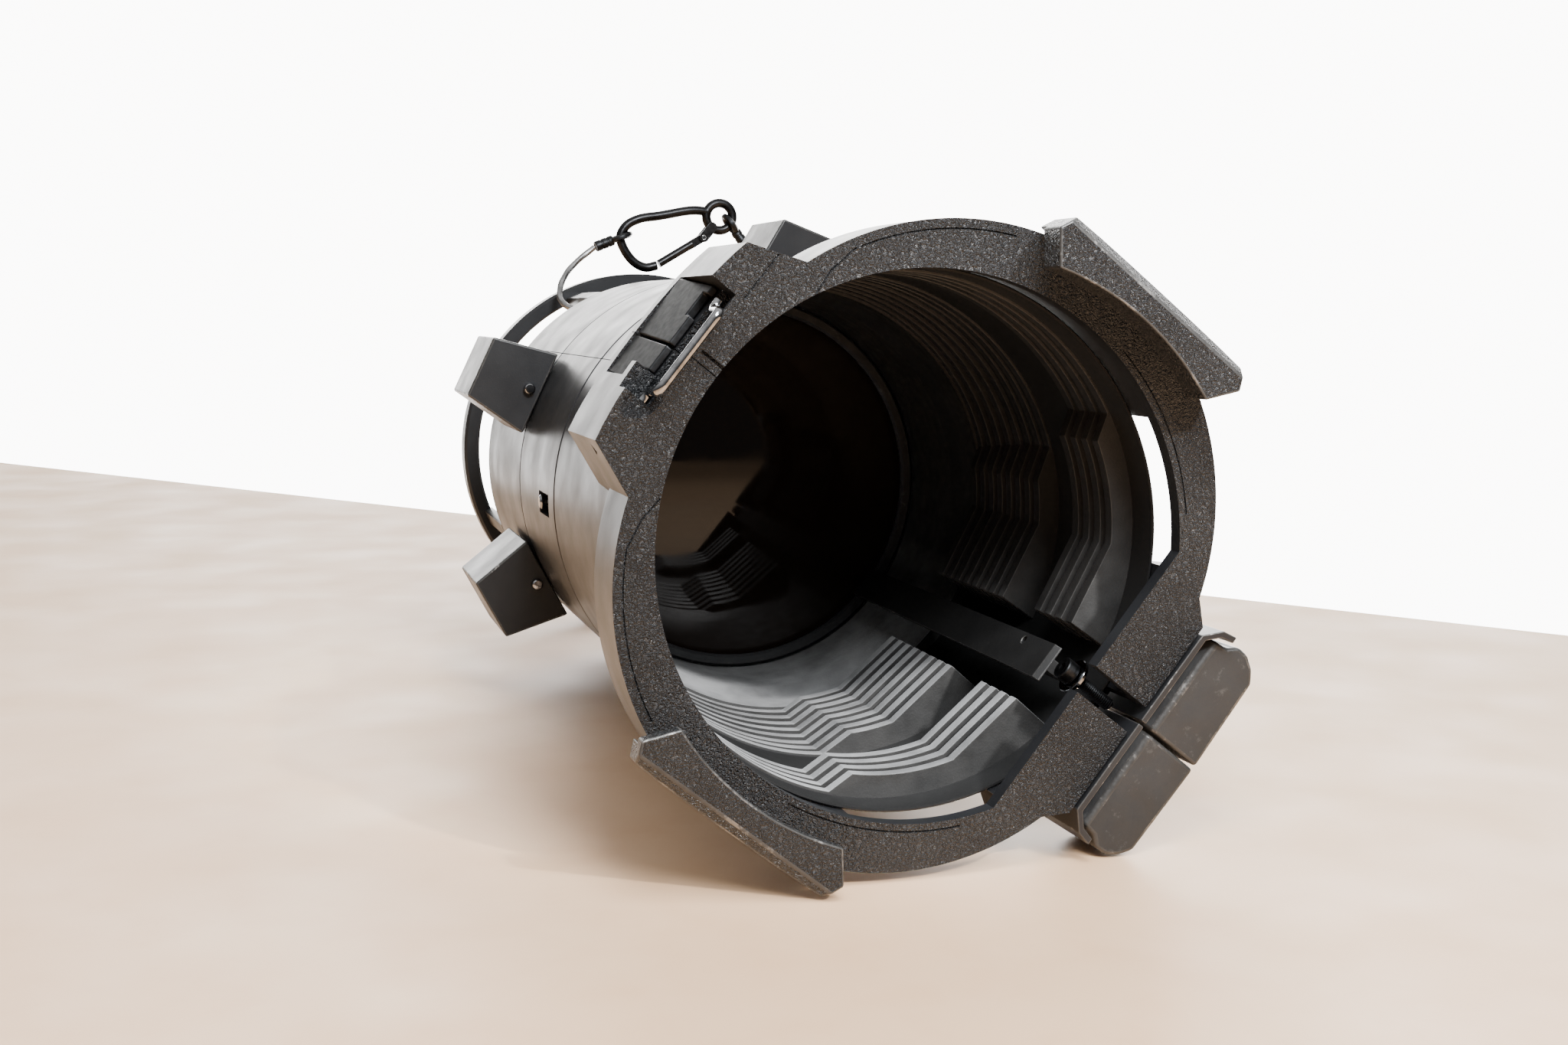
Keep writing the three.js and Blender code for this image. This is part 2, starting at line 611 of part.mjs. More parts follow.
function addCarabiner() {
  const route = new THREE.CatmullRomCurve3(HOOK_ROUTE.map(hookPoint), false, "centripetal");
  const torus = solid(new THREE.TorusGeometry(EYE_R, HOOK_R, 8, 24).rotateX(Math.PI / 2));
  const eye = torus.translate([EYE[0], HOOK_S, EYE[1]]);
  const hook = wire(route, HOOK_R, 44).add(eye).add(hookCheek(-1)).add(hookCheek(1));
  add("carabiner_body", hook, cableSteel, asItLies);
  const blade = bar(GATE_PIVOT, GATE_SHOULDER, GATE_R, HOOK_S - GATE_BLADE_HALF_T, HOOK_S + GATE_BLADE_HALF_T);
  const rodStart = hookPoint(GATE_SHOULDER).lerp(hookPoint(GATE_PIVOT), 0.2);
  const rod = wire(new THREE.LineCurve3(rodStart, hookPoint(GATE_NOSE)), GATE_R, 1);
  add("carabiner_gate", blade.add(rod).subtract(pinHole()), cableSteel, asItLies);
  add("gate_pin", disc(GATE_PIVOT, PIN_R, HOOK_S - CHEEK_OUT, HOOK_S + CHEEK_OUT), darkSteel, asItLies);
}

// The middle of the crimp sleeve's outer end face, where the cable enters it.
function sleeveStart({ centre, out }) {
  const reach = LOOP_R - SLEEVE_BITE + SLEEVE_LENGTH;
  return centre.clone().addScaledVector(out.clone().normalize(), -reach);
}

function cableEnd(loop) {
  return sleeveStart(loop).addScaledVector(loop.out.clone().normalize(), -CABLE_END_GAP);
}

function addCableLoop(name, loop) {
  const along = loop.out.clone().normalize();
  const start = sleeveStart(loop);
  const end = start.clone().addScaledVector(along, SLEEVE_LENGTH);
  const sleeve = wire(new THREE.LineCurve3(start, end), SLEEVE_R, 1, 10);
  const normal = along.clone().cross(new THREE.Vector3(0, 1, 0)).normalize();
  const torus = new THREE.TorusGeometry(LOOP_R, CABLE_R, 8, 20);
  torus.applyQuaternion(new THREE.Quaternion().setFromUnitVectors(new THREE.Vector3(0, 0, 1), normal));
  torus.translate(loop.centre.x, loop.centre.y, loop.centre.z);
  add(name, sleeve.add(solid(torus)), darkSteel, asItLies);
}

function addSafetyCable() {
  const middle = CABLE_ROUTE.map((point) => new THREE.Vector3(...point));
  const route = new THREE.CatmullRomCurve3([cableEnd(EYE_LOOP), ...middle, cableEnd(HOOK_LOOP)]);
  add("safety_cable", wire(route, CABLE_R, 56), cableSteel, asItLies);
  addCableLoop("cable_loop_eye", EYE_LOOP);
  addCableLoop("cable_loop_hook", HOOK_LOOP);
}

// --- the whole part ----------------------------------------------------------------------------------

for (const [name, side] of SIDE_NAMES) {
  addFrontRing(name, side);
  addLatchPlate(name, side);
  addFinger(name, side);
  addLip(name, side);
  addBumper(name, side);
  addTubeHalf(name, side);
  addBarrelHalf(name, side);
}
addBail();
addSeamStrip();
addClampScrew();
addFrontLens();
addRearLens();
addGuideScrew();
addRearRing();
addFins();
addCarabiner();
addSafetyCable();

// Everything but the cable decides where it stands: lowest point at z = 0, middle of its box at x = y = 0.
lying.updateMatrixWorld(true);
const box = new THREE.Box3();
for (const mesh of [...tube.children, ...asItLies.children]) {
  if (!mesh.name.includes("cable")) box.expandByObject(mesh, true);
}
const middle = box.getCenter(new THREE.Vector3());
lying.position.set(-middle.x, -middle.y, -box.min.z);

const part = new THREE.Group();
part.add(lying);
export default part;
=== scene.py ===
"""Lens tube of a theatre ellipsoidal spotlight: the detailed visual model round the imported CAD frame.

Pieces are drawn in millimetres in the tube's own frame, (x, s, z): s runs back along the axis from the
face of the front ring, x points to the right finger and z to the latch block. Angles are about the axis,
from x towards z. The carabiner and its cable are drawn in the same way before the tube's roll.
"""
import json
import math

import bmesh
import bpy
from mathutils import Matrix, Vector


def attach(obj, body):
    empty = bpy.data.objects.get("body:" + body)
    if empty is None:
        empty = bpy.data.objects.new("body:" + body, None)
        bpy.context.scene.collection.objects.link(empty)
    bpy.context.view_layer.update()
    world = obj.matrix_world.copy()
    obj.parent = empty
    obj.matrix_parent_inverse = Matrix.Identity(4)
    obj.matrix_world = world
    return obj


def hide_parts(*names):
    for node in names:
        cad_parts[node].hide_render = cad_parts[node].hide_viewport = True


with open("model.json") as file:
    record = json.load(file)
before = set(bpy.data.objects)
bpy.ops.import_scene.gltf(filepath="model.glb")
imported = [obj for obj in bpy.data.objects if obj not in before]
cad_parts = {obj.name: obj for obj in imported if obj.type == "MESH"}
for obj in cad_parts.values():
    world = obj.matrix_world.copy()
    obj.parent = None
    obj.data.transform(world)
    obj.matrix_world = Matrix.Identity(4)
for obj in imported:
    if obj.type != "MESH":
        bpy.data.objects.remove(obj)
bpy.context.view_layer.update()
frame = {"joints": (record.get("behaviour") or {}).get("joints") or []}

MM = 0.001
scene = bpy.context.scene

# --- frames ---------------------------------------------------------------------------------------

joints = {joint["name"]: joint for joint in frame["joints"]}
BAIL_PIVOT = Vector((0, 4, 87.5))  # in the tube's frame, in millimetres
ALONG = Vector(joints["focus_slide"]["axis"]).normalized()
RIGHT = -Vector(joints["bail_hinge"]["axis"]).normalized()


def placement(across, origin):
    basis = Matrix((across, ALONG, across.cross(ALONG))).transposed()
    return Matrix.Translation(origin) @ basis.to_4x4() @ Matrix.Scale(MM, 4)


def tube_origin():
    turn = placement(RIGHT, Vector())
    return Vector(joints["bail_hinge"]["pos_m"]) - turn @ BAIL_PIVOT


TUBE = placement(RIGHT, tube_origin())
LYING = placement(Vector((1, 0, 0)), tube_origin())
ROLL = math.atan2(RIGHT.z, RIGHT.x)  # of the tube, from the lying frame

# --- dimensions -----------------------------------------------------------------------------------

SEAM = 0.15  # half the gap between the two castings
CORNER = 0.7  # rounding of the ring's edges

APERTURE_R = 76.7
OUTLINE_R = 80.6  # of the ring's sides, about a centre off the axis
OUTLINE_OFFSET = 12
COLLAR_BORE_R = 78.4
FACE_T = 5
COLLAR_END = 25
BLOCK_END = 40
CHORD_Z = -62  # flat foot of the aperture
BRACKET_Z = -82.5
BRACKET_HALF = 33
NOTCH = (38.9, 76)  # foot of the latch block's side
BLOCK_TOP = [(0, 94.8), (5, 94.75), (10, 94.6), (15, 94.35), (20, 94), (24, 93.5), (28, 92.9), (32.5, 92)]
WINDOW_DEG = (-58, -25)
FACE_LINE = (0.5, 0.45)  # width and depth
SCALLOP_AT = Vector((17.5, -2.6, 88.5))
SCALLOP_RADII = (7.5, 4.6, 4.6, 1)
SIDE_MARK = [(8.6, 88), (11.6, 90.2), (11.6, 87)]

POCKET_REACH = {"right": 20, "left": 13.5}  # of the pocket from the seam, at the plate
POCKET_NECK = {"right": 20, "left": 9}  # the same, in front of the plate
POCKET_HALF = 17  # the same, round the bail
POCKET_LIP_Z = 85.9
POCKET_FLOOR_Z = 82.5
PLATE_BED_Z = 88
ABOVE_BLOCK = 97
PLATE_WEDGE = [(9.4, 88.3), (34.6, 88.3), (34.6, 93.9), (33.6, 94.1), (9.4, 90.4)]
PLATE_NOTCH = {"right": (9.5, 17, 12.5), "left": (8.6, 15, 13.4)}  # from x to x, and its back
PLATE_GAP = 0.4
BAIL_WIRE_R = 1.4
BAIL_BEND_R = 2.6
BAIL_PATH = [(-16.7, 4), (-13.3, 4), (-13.3, -4.6), (13.3, -4.6), (13.3, 4), (16.7, 4)]

FINGER_FRONT = {"right": -16, "left": -10}
FINGER_RISE = {"right": -4.3, "left": 1}  # of its middle, from the ring's
FINGER_CROWN = [
    (92.7, -32.6), (93.15, -23), (93.35, -12), (93.4, 0), (93.35, 12), (93.15, 23), (92.7, 32.6),
]
FINGER_SHOULDER = (86.9, 35.4)
FINGER_INNER_R = 83.5
FINGER_INNER_HALF = 28.5
FINGER_BEVEL = (89.4, 5.6)  # from this x outwards, and this far back
CHANNEL_X = 88  # bottom of the colour frame's channel
CHANNEL_S = -5.3  # its front wall

LIP_OUTLINE = [
    (0.5, -83.3), (31, -83.3), (36, -88.3), (37, -93), (35, -93), (34, -88.8), (30.4, -85.3), (0.5, -85.3),
]
BUMPER_OUTLINE = [
    (0.5, -85.6), (28.5, -85.6), (33, -89.5), (33.7, -95), (36.2, -98), (36, -102), (33.6, -105.9),
    (30, -108.6), (0.5, -109.4),
]
BUMPER_SLOPE = [(2, -84.6), (2, -91.6), (10, -84.6)]

CLAMP_SCREW_S = 14
CLAMP_SCREW_HEAD = [(0, 60.6), (3.2, 60.6), (3.5, 60.9), (3.5, 64.4), (3.3, 64.6), (2.0, 64.6)]
SOCKET_R = 1.6
THREAD_R = 2.0
THREAD_START = 65.0
THREAD_PITCH = 0.7
THREAD_TURNS = 22
THREAD_END = 80.5
WASHER = [(2.3, 64.9), (5.3, 64.9), (5.5, 65.1), (5.5, 65.9), (5.3, 66.1), (2.3, 66.1)]

TUBE_R = 78
TUBE_BORE_R = 73
NECK_R = 74.6  # of the tube where the barrel slides on it
NECK_BORE_R = 70.6
NECK_S = 150
TUBE_END = 262
GROOVE_R = 77  # of the bore between its ribs
GROOVES_END = 136
RIB_T = 4.2
RIB_S = [29, 36.5, 44, 51.5, 80, 87.5, 95, 102.5, 110, 117.5, 125, 132.5]
DEEP_RIBS = 60  # the ribs behind this have their corner nearer to the seam
RIB_SIDE_R = 76.2
RIB_CORNER_R = 70
RIB_SLANT = (0.951, 0.309)
RIB_FOOT = (14, -62.2)
STRIP_OUTLINE = [(-6, -62), (6, -62), (6, -64), (2, -64), (2, -70), (-2, -70), (-2, -64), (-6, -64)]
STRIP_S = (27, 192)
STRIP_HOLE = Vector((3.5, 48, CHORD_Z))

LENS_R = 69.8
LENS_S = (202.2, 210.2)
LENS_SAG = 5
REAR_LENS_R = 33.5
REAR_LENS_S = (228, 233)
REAR_LENS_SAG = 6
SEAT_R = 70.3  # of the rings that hold the lenses

BARREL_R = 78
BARREL_BORE_R = 75.5
BARREL_S = (151.5, 320)
GUIDE_DEG = 182
GUIDE_S = 179.5
REAR_RING = [
    (75, 375.8), (75.8, 375), (80.6, 375), (81.8, 376.2), (81.8, 385.8), (80.6, 387), (75.8, 387),
    (75, 386.2),
]
SPOKE_DEG = [203, 293, 23, 113]
SPOKE_HALF = 3.5
FIN_DEG = [154.5, 208, 320, 69]
FIN_OUTLINE = [(78.3, -16.5), (103, -12), (103, 12), (78.3, 16.5)]
FIN_S = (222, 268)
FIN_SCREW_R = 83  # how far out it sits

# --- camera ---------------------------------------------------------------------------------------

CAMERA_AT = Vector((-177.83, -451.70, 65.73))  # in the lying frame
CAMERA_RIGHT = Vector((0.95733, -0.28888, 0.00853))
CAMERA_UP = Vector((0.03439, 0.1432, 0.98914))
FOCAL_LENGTH = 40.97


def make_camera():
    data = bpy.data.cameras.new("camera")
    data.lens = FOCAL_LENGTH
    data.sensor_width = 36
    camera = bpy.data.objects.new("camera", data)
    turned = Matrix((CAMERA_RIGHT, CAMERA_UP, CAMERA_RIGHT.cross(CAMERA_UP))).transposed()
    camera.matrix_world = Matrix.Translation(LYING @ CAMERA_AT) @ turned.to_4x4()
    scene.collection.objects.link(camera)
    scene.camera = camera


# --- mesh helpers ---------------------------------------------------------------------------------

def link_object(name, mesh):
    obj = bpy.data.objects.new(name, mesh)
    scene.collection.objects.link(obj)
    return obj


def mesh_object(name, vertices, faces):
    mesh = bpy.data.meshes.new(name)
    mesh.from_pydata([tuple(v) for v in vertices], [], [tuple(f) for f in faces])
    bm = bmesh.new()
    bm.from_mesh(mesh)
    bmesh.ops.recalc_face_normals(bm, faces=bm.faces)
    bm.to_mesh(mesh)
    bm.free()
    return link_object(name, mesh)


def loft(near, far, name):
    """A closed solid between two outlines that have as many points each."""
    n = len(near)
    sides = [(i, (i + 1) % n, n + (i + 1) % n, n + i) for i in range(n)]
    return mesh_object(name, [*near, *far], [range(n), range(n, 2 * n), *sides])


def prism(outline, s0, s1, name="prism"):
    """A closed (x, z) outline taken along the axis."""
    return loft([(x, s0, z) for x, z in outline], [(x, s1, z) for x, z in outline], name)


def box(x0, x1, s0, s1, z0, z1, name="box"):
    return prism([(x0, z0), (x1, z0), (x1, z1), (x0, z1)], s0, s1, name)


def side_prism(outline, x0, x1, name="side_prism"):
    """A closed (s, z) outline taken from one x to another."""
    return loft([(x0, s, z) for s, z in outline], [(x1, s, z) for s, z in outline], name)


def upright_prism(outline, z0, z1, name="upright_prism"):
    """A closed (x, s) outline taken from one z to another."""
    return loft([(x, s, z0) for x, s in outline], [(x, s, z1) for x, s in outline], name)


def arc(cx, cz, r, start, end, steps):
    """Points of an arc, angles in degrees."""
    angles = [math.radians(start + (end - start) * i / steps) for i in range(steps + 1)]
    return [(cx + r * math.cos(a), cz + r * math.sin(a)) for a in angles]


def lathe(profile, name="lathe", start=0.0, end=360.0, steps=160):
    """A closed (radius, s) profile turned about the axis, all the way round or between two angles."""
    whole = abs(end - start - 360) < 1e-6
    n = len(profile)
    turns = steps if whole else steps + 1
    vertices = []
    for i in range(turns):
        a = math.radians(start + (end - start) * i / steps)
        vertices += [(r * math.cos(a), s, r * math.sin(a)) for r, s in profile]
    faces = []
    for i in range(steps):
        here, there = i * n, ((i + 1) % turns) * n
        for k in range(n):
            following = (k + 1) % n
            on_axis = profile[k][0] == 0 and profile[following][0] == 0
            if not on_axis:
                faces.append((here + k, here + following, there + following, there + k))
    if not whole:
        faces += [range(n), range((turns - 1) * n, turns * n)]
    made = mesh_object(name, vertices, faces)
    weld(made)
    return made


def weld(obj, distance=1e-4):
    bm = bmesh.new()
    bm.from_mesh(obj.data)
    bmesh.ops.remove_doubles(bm, verts=bm.verts, dist=distance)
    bmesh.ops.dissolve_degenerate(bm, edges=bm.edges, dist=distance)
    bmesh.ops.recalc_face_normals(bm, faces=bm.faces)
    bm.to_mesh(obj.data)
    bm.free()


def tube_faces(rings, sides, closed=False):
    """Faces round equal rings of vertices, and over the two ends unless the tube is closed."""
    faces = []
    for i in range(rings if closed else rings - 1):
        here, there = i * sides, ((i + 1) % rings) * sides
        for k in range(sides):
            following = (k + 1) % sides
            faces.append((here + k, here + following, there + following, there + k))
    if not closed:
        faces += [range(sides), range((rings - 1) * sides, rings * sides)]
    return faces


def sweep(points, radius, name="sweep", sides=16, closed=False, strands=0, twist=0.0):
    """A round wire along points, with optional helical strands."""
    n = len(points)
    tangents = []
    for i in range(n):
        before = points[(i - 1) % n] if closed or i > 0 else points[0]
        after = points[(i + 1) % n] if closed or i < n - 1 else points[-1]
        tangents.append((after - before).normalized())
    normal = tangents[0].orthogonal().normalized()
    vertices = []
    travelled = 0.0
    for i in range(n):
        normal = (normal - tangents[i] * normal.dot(tangents[i])).normalized()
        binormal = tangents[i].cross(normal)
        if i:
            travelled += (points[i] - points[i - 1]).length
        for k in range(sides):
            a = 2 * math.pi * k / sides
            r = radius
            if strands:
                r -= STRAND_DEPTH * radius * (0.5 - 0.5 * math.cos(strands * a + twist * travelled))
            vertices.append(points[i] + normal * (r * math.cos(a)) + binormal * (r * math.sin(a)))
    return mesh_object(name, vertices, tube_faces(n, sides, closed))


def bake(obj):
    """Applies the object's modifiers."""
    graph = bpy.context.evaluated_depsgraph_get()
    mesh = bpy.data.meshes.new_from_object(obj.evaluated_get(graph))
    obj.modifiers.clear()
    obj.data = mesh


def combine(target, others, operation):
    for other in others:
        modifier = target.modifiers.new("combine", "BOOLEAN")
        modifier.operation = operation
        modifier.solver = "EXACT"
        modifier.object = other
        bake(target)
        bpy.data.objects.remove(other)
    return target


def cut(target, *cutters):
    return combine(target, cutters, "DIFFERENCE")


def join(target, *others):
    return combine(target, others, "UNION")


def merge(target, *others):
    """Puts meshes that needn't be one skin into one object."""
    bm = bmesh.new()
    for obj in (target, *others):
        bm.from_mesh(obj.data)
    bm.to_mesh(target.data)
    bm.free()
    for other in others:
        bpy.data.objects.remove(other)
    return target


def mirror(obj):
    """Flips a piece drawn on the right of the seam to the left."""
    obj.data.transform(Matrix.Scale(-1, 4, (1, 0, 0)))
    obj.data.flip_normals()
    return obj


def turn(obj, degrees):
    """Turns a piece about the axis, from x towards z."""
    obj.data.transform(Matrix.Rotation(-math.radians(degrees), 4, "Y"))
    return obj


def own(lying_degrees):
    """An angle in the lying frame, in the tube's own."""
    return lying_degrees - math.degrees(ROLL)


def groove(points, width, depth):
    """A cutter that scores a line of (x, z) points into the front face."""
    path = [Vector(p) for p in points]
    left, right = [], []
    for i, here in enumerate(path):
        before = path[max(i - 1, 0)]
        after = path[min(i + 1, len(path) - 1)]
        along = (after - before).normalized()
        across = Vector((-along.y, along.x)) * (width / 2)
        left.append(tuple(here + across))
        right.append(tuple(here - across))
    return prism(left + right[::-1], -1, depth)


def soften(obj, width, coat, edge=None, segments=3, angle=30):
    """Rounds the sharp edges; the rounded strips get the edge material."""
    obj.data.materials.clear()
    obj.data.materials.append(coat)
    obj.data.materials.append(edge or coat)
    for polygon in obj.data.polygons:
        polygon.material_index = 0
    modifier = obj.modifiers.new("soften", "BEVEL")
    modifier.width = width
    modifier.segments = segments
    modifier.limit_method = "ANGLE"
    modifier.angle_limit = math.radians(angle)
    modifier.material = 1
    bake(obj)
    return obj


def paint_front(obj, coat, limit):
    """Gives the faces that look forward their own coat."""
    obj.data.materials.append(coat)
    index = len(obj.data.materials) - 1
    for polygon in obj.data.polygons:
        if polygon.normal.y < -limit and polygon.material_index == 0:
            polygon.material_index = index
    return obj


def piece(obj, name, body, replaced=(), into=TUBE, sharp=35):
    """Puts a finished mesh in its place as a named piece of the object."""
    obj.name = name
    obj.data.name = name
    obj.data.transform(into)
    for polygon in obj.data.polygons:
        polygon.use_smooth = True
    obj.data.set_sharp_from_angle(angle=math.radians(sharp))
    normals = obj.modifiers.new("normals", "WEIGHTED_NORMAL")
    normals.keep_sharp = True
    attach(obj, body)
    if replaced:
        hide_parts(*([replaced] if isinstance(replaced, str) else replaced))
    return obj


def plain(obj, coat):
    obj.data.materials.clear()
    obj.data.materials.append(coat)
    return obj


# --- materials ------------------------------------------------------------------------------------

class Shader:
    """A Principled material with helpers for its procedural parts."""

    def __init__(self, name, colour, roughness, metallic=0.0, **sockets):
        self.material = bpy.data.materials.new(name)
        self.material.use_nodes = True
        self.tree = self.material.node_tree
        self.principled = self.tree.nodes["Principled BSDF"]
        self.principled.inputs["Base Color"].default_value = (*colour, 1)
        self.principled.inputs["Roughness"].default_value = roughness
        self.principled.inputs["Metallic"].default_value = metallic
        for socket, value in sockets.items():
            self.principled.inputs[socket.replace("_", " ")].default_value = value
        self.coordinates = self.tree.nodes.new("ShaderNodeTexCoord").outputs["Object"]

    def join(self, source, target):
        self.tree.links.new(source, target)

    def noise(self, scale, detail=3.0, distortion=0.0, roughness=0.5):
        node = self.tree.nodes.new("ShaderNodeTexNoise")
        node.inputs["Scale"].default_value = scale
        node.inputs["Detail"].default_value = detail
        node.inputs["Roughness"].default_value = roughness
        node.inputs["Distortion"].default_value = distortion
        self.join(self.coordinates, node.inputs["Vector"])
        return node.outputs["Fac"]

    def ramp(self, value, low, high, out_low=0.0, out_high=1.0):
        node = self.tree.nodes.new("ShaderNodeMapRange")
        node.inputs["From Min"].default_value = low
        node.inputs["From Max"].default_value = high
        node.inputs["To Min"].default_value = out_low
        node.inputs["To Max"].default_value = out_high
        self.join(value, node.inputs["Value"])
        return node.outputs["Result"]

    def math(self, operation, first, second):
        node = self.tree.nodes.new("ShaderNodeMath")
        node.operation = operation
        for socket, value in zip(node.inputs, (first, second)):
            if isinstance(value, (int, float)):
                socket.default_value = value
            else:
                self.join(value, socket)
        return node.outputs["Value"]

    def mix(self, factor, first, second):
        node = self.tree.nodes.new("ShaderNodeMix")
        node.data_type = "RGBA"
        self.join(factor, node.inputs["Factor"])
        for socket, value in ((node.inputs[6], first), (node.inputs[7], second)):
            if isinstance(value, tuple):
                socket.default_value = (*value, 1)
            else:
                self.join(value, socket)
        return node.outputs[2]

    def colour(self, value):
        self.join(value, self.principled.inputs["Base Color"])

    def roughness(self, value):
        self.join(value, self.principled.inputs["Roughness"])

    def metallic(self, value):
        self.join(value, self.principled.inputs["Metallic"])

    def bump(self, height, distance, strength=1.0):
        node = self.tree.nodes.new("ShaderNodeBump")
        node.inputs["Strength"].default_value = strength
        node.inputs["Distance"].default_value = distance
        self.join(height, node.inputs["Height"])
        self.join(node.outputs["Normal"], self.principled.inputs["Normal"])


def satin_coat(name, dark, light, gloss):
    """Smooth black powder coat with faint clouds and specks of dust."""
    shader = Shader(name, dark, 0.4, Specular_IOR_Level=0.35)
    clouds = shader.noise(28, 5)
    dust = shader.ramp(shader.noise(420, 6, roughness=0.7), 0.62, 0.85, 0.0, 0.25)
    coat = shader.mix(shader.ramp(clouds, 0.35, 0.7), dark, light)
    shader.colour(shader.mix(dust, coat, (0.07, 0.068, 0.065)))
    shader.roughness(shader.ramp(shader.noise(60, 6), 0.3, 0.7, *gloss))
    shader.bump(shader.noise(1500, 3), 0.00005, 0.5)
    return shader.material


def crinkle_coat():
    """Black crinkle powder coat: worm-like wrinkles about a millimetre apart."""
    dark = (0.012, 0.013, 0.015)
    shader = Shader("crinkle_coat", dark, 0.4)
    wrinkles = shader.noise(900, 2, distortion=0.6)
    ridges = shader.math("ABSOLUTE", shader.math("SUBTRACT", wrinkles, 0.5), 0)
    height = shader.ramp(ridges, 0.0, 0.16, 1.0, 0.0)
    fine = shader.noise(2600, 3)
    shader.colour(shader.mix(shader.ramp(shader.noise(35, 5), 0.3, 0.7), dark, (0.024, 0.025, 0.027)))
    shader.roughness(shader.ramp(fine, 0.3, 0.7, 0.24, 0.36))
    shader.bump(shader.math("ADD", height, shader.math("MULTIPLY", fine, 0.3)), 0.001, 1.0)
    return shader.material


def worn_edge(name, amount, bare):
    """The skin where an edge rubs: thin, greyer, with chips down to what is under it."""
    dark = (0.02, 0.02, 0.02)
    shader = Shader(name, dark, 0.4)
    patches = shader.noise(90, 6, roughness=0.7)
    chips = shader.noise(900, 4)
    rubbed = shader.math("ADD", patches, shader.math("MULTIPLY", chips, 0.35))
    worn = shader.ramp(rubbed, amount + 0.12, amount + 0.2)
    coat = shader.mix(shader.ramp(patches, 0.35, 0.65), dark, (0.045, 0.044, 0.042))
    shader.colour(shader.mix(worn, coat, bare))
    shader.metallic(shader.math("MULTIPLY", worn, 0.85))
    shader.roughness(shader.ramp(chips, 0.3, 0.7, 0.3, 0.5))
    shader.bump(chips, 0.00008, 0.6)
    return shader.material


def inner_coat():
    """Matt black inside the tube, paler on its low faces: partly settled dust, partly painted light where
    the top light falls; faces that look along the axis stay dark as painted shade.
    """
    dark = (0.014, 0.014, 0.014)
    shader = Shader("inner_coat", dark, 0.5)
    split = shader.tree.nodes.new("ShaderNodeSeparateXYZ")
    shader.join(shader.coordinates, split.inputs[0])
    height = shader.math("ADD", split.outputs["Z"], shader.math("MULTIPLY", shader.noise(30, 5), 0.012))
    # paler the lower the face lies: partly settled dust, partly painted light where the top light falls on
    # the bottom of the bore
    dust_and_painted_light = shader.ramp(height, 0.072, 0.046)
    facing = shader.tree.nodes.new("ShaderNodeSeparateXYZ")
    shader.join(shader.tree.nodes.new("ShaderNodeNewGeometry").outputs["Normal"], facing.inputs[0])
    # faces that look along the axis get none of the pale colour: painted shade on the fronts of the ribs and
    # steps
    upright = shader.ramp(shader.math("ABSOLUTE", facing.outputs["Y"], 0), 0.75, 0.45)
    dust_and_painted_light = shader.math("MULTIPLY", dust_and_painted_light, upright)
    patches = shader.ramp(shader.noise(55, 6, roughness=0.6), 0.3, 0.65, 0.45, 1.0)
    coat = shader.mix(shader.ramp(shader.noise(45, 5), 0.3, 0.7), dark, (0.026, 0.025, 0.024))
    shader.colour(shader.mix(shader.math("MULTIPLY", dust_and_painted_light, patches), coat, (0.32, 0.322, 0.325)))
    shader.roughness(shader.ramp(shader.noise(200, 5), 0.3, 0.7, 0.42, 0.6))
    shader.bump(shader.noise(1300, 4), 0.00009, 0.7)
    return shader.material


def rubber_skin():
    """Black rubber, with pale scuffs in patches."""
    dark = (0.012, 0.0125, 0.0135)
    shader = Shader("rubber_skin", dark, 0.6)
    scuffs = shader.ramp(shader.noise(260, 7, roughness=0.75), 0.58, 0.72)
    skin = shader.mix(shader.ramp(shader.noise(40, 4), 0.3, 0.7), dark, (0.022, 0.023, 0.024))
    shader.colour(shader.mix(shader.math("MULTIPLY", scuffs, 0.3), skin, (0.16, 0.16, 0.155)))
    shader.roughness(shader.ramp(shader.noise(150, 5), 0.3, 0.7, 0.45, 0.7))
    shader.bump(shader.noise(1100, 4), 0.0001, 0.7)
    return shader.material


def metal(name, colour, gloss):
    """Plated or blackened metal with stains half as bright as its colour."""
    shader = Shader(name, colour, gloss[0], 1.0)
    stained = tuple(c * 0.5 for c in colour)
    shader.colour(shader.mix(shader.ramp(shader.noise(220, 6, roughness=0.65), 0.45, 0.7), colour, stained))
    shader.roughness(shader.ramp(shader.noise(500, 4), 0.3, 0.7, *gloss))
    shader.bump(shader.noise(1800, 3), 0.00003, 0.5)
    return shader.material


def lens_glass(name, painted_dark):
    """Coated glass drawn opaque: its near-black brown colour is painted shade for the dark tube seen through
    clear glass; faintly smeared.
    """
    shader = Shader(name, painted_dark, 0.02, IOR=1.52, Specular_IOR_Level=0.25)
    smears = shader.noise(35, 4, distortion=0.8)
    shader.roughness(shader.ramp(smears, 0.45, 0.75, 0.03, 0.12))
    return shader.material


def floor_paint():
    """Pale warm matt table top, faintly mottled and streaked."""
    pale = (0.84, 0.53, 0.31)
    shader = Shader("floor_paint", pale, 0.6)
    mottled = shader.mix(shader.noise(6, 3), pale, (0.88, 0.60, 0.38))
    streaks = shader.ramp(shader.noise(45, 5), 0.45, 0.75, 0.0, 0.5)
    shader.colour(shader.mix(streaks, mottled, (0.78, 0.48, 0.27)))
    shader.roughness(shader.ramp(shader.noise(20, 3), 0.3, 0.7, 0.45, 0.6))
    shader.bump(shader.noise(300, 3), 0.0001, 0.3)
    return shader.material


# --- front ring -----------------------------------------------------------------------------------

def ring_outline():
    """Right half of the ring's outline, from the seam at the top round to the seam at the bottom."""
    notch = math.degrees(math.atan2(NOTCH[1], NOTCH[0] - OUTLINE_OFFSET))
    side = arc(OUTLINE_OFFSET, 0, OUTLINE_R, notch, -notch, 72)
    top = [(max(x, SEAM), z) for x, z in BLOCK_TOP]
    return [*top, *side, (BRACKET_HALF, BRACKET_Z), (SEAM, BRACKET_Z)]


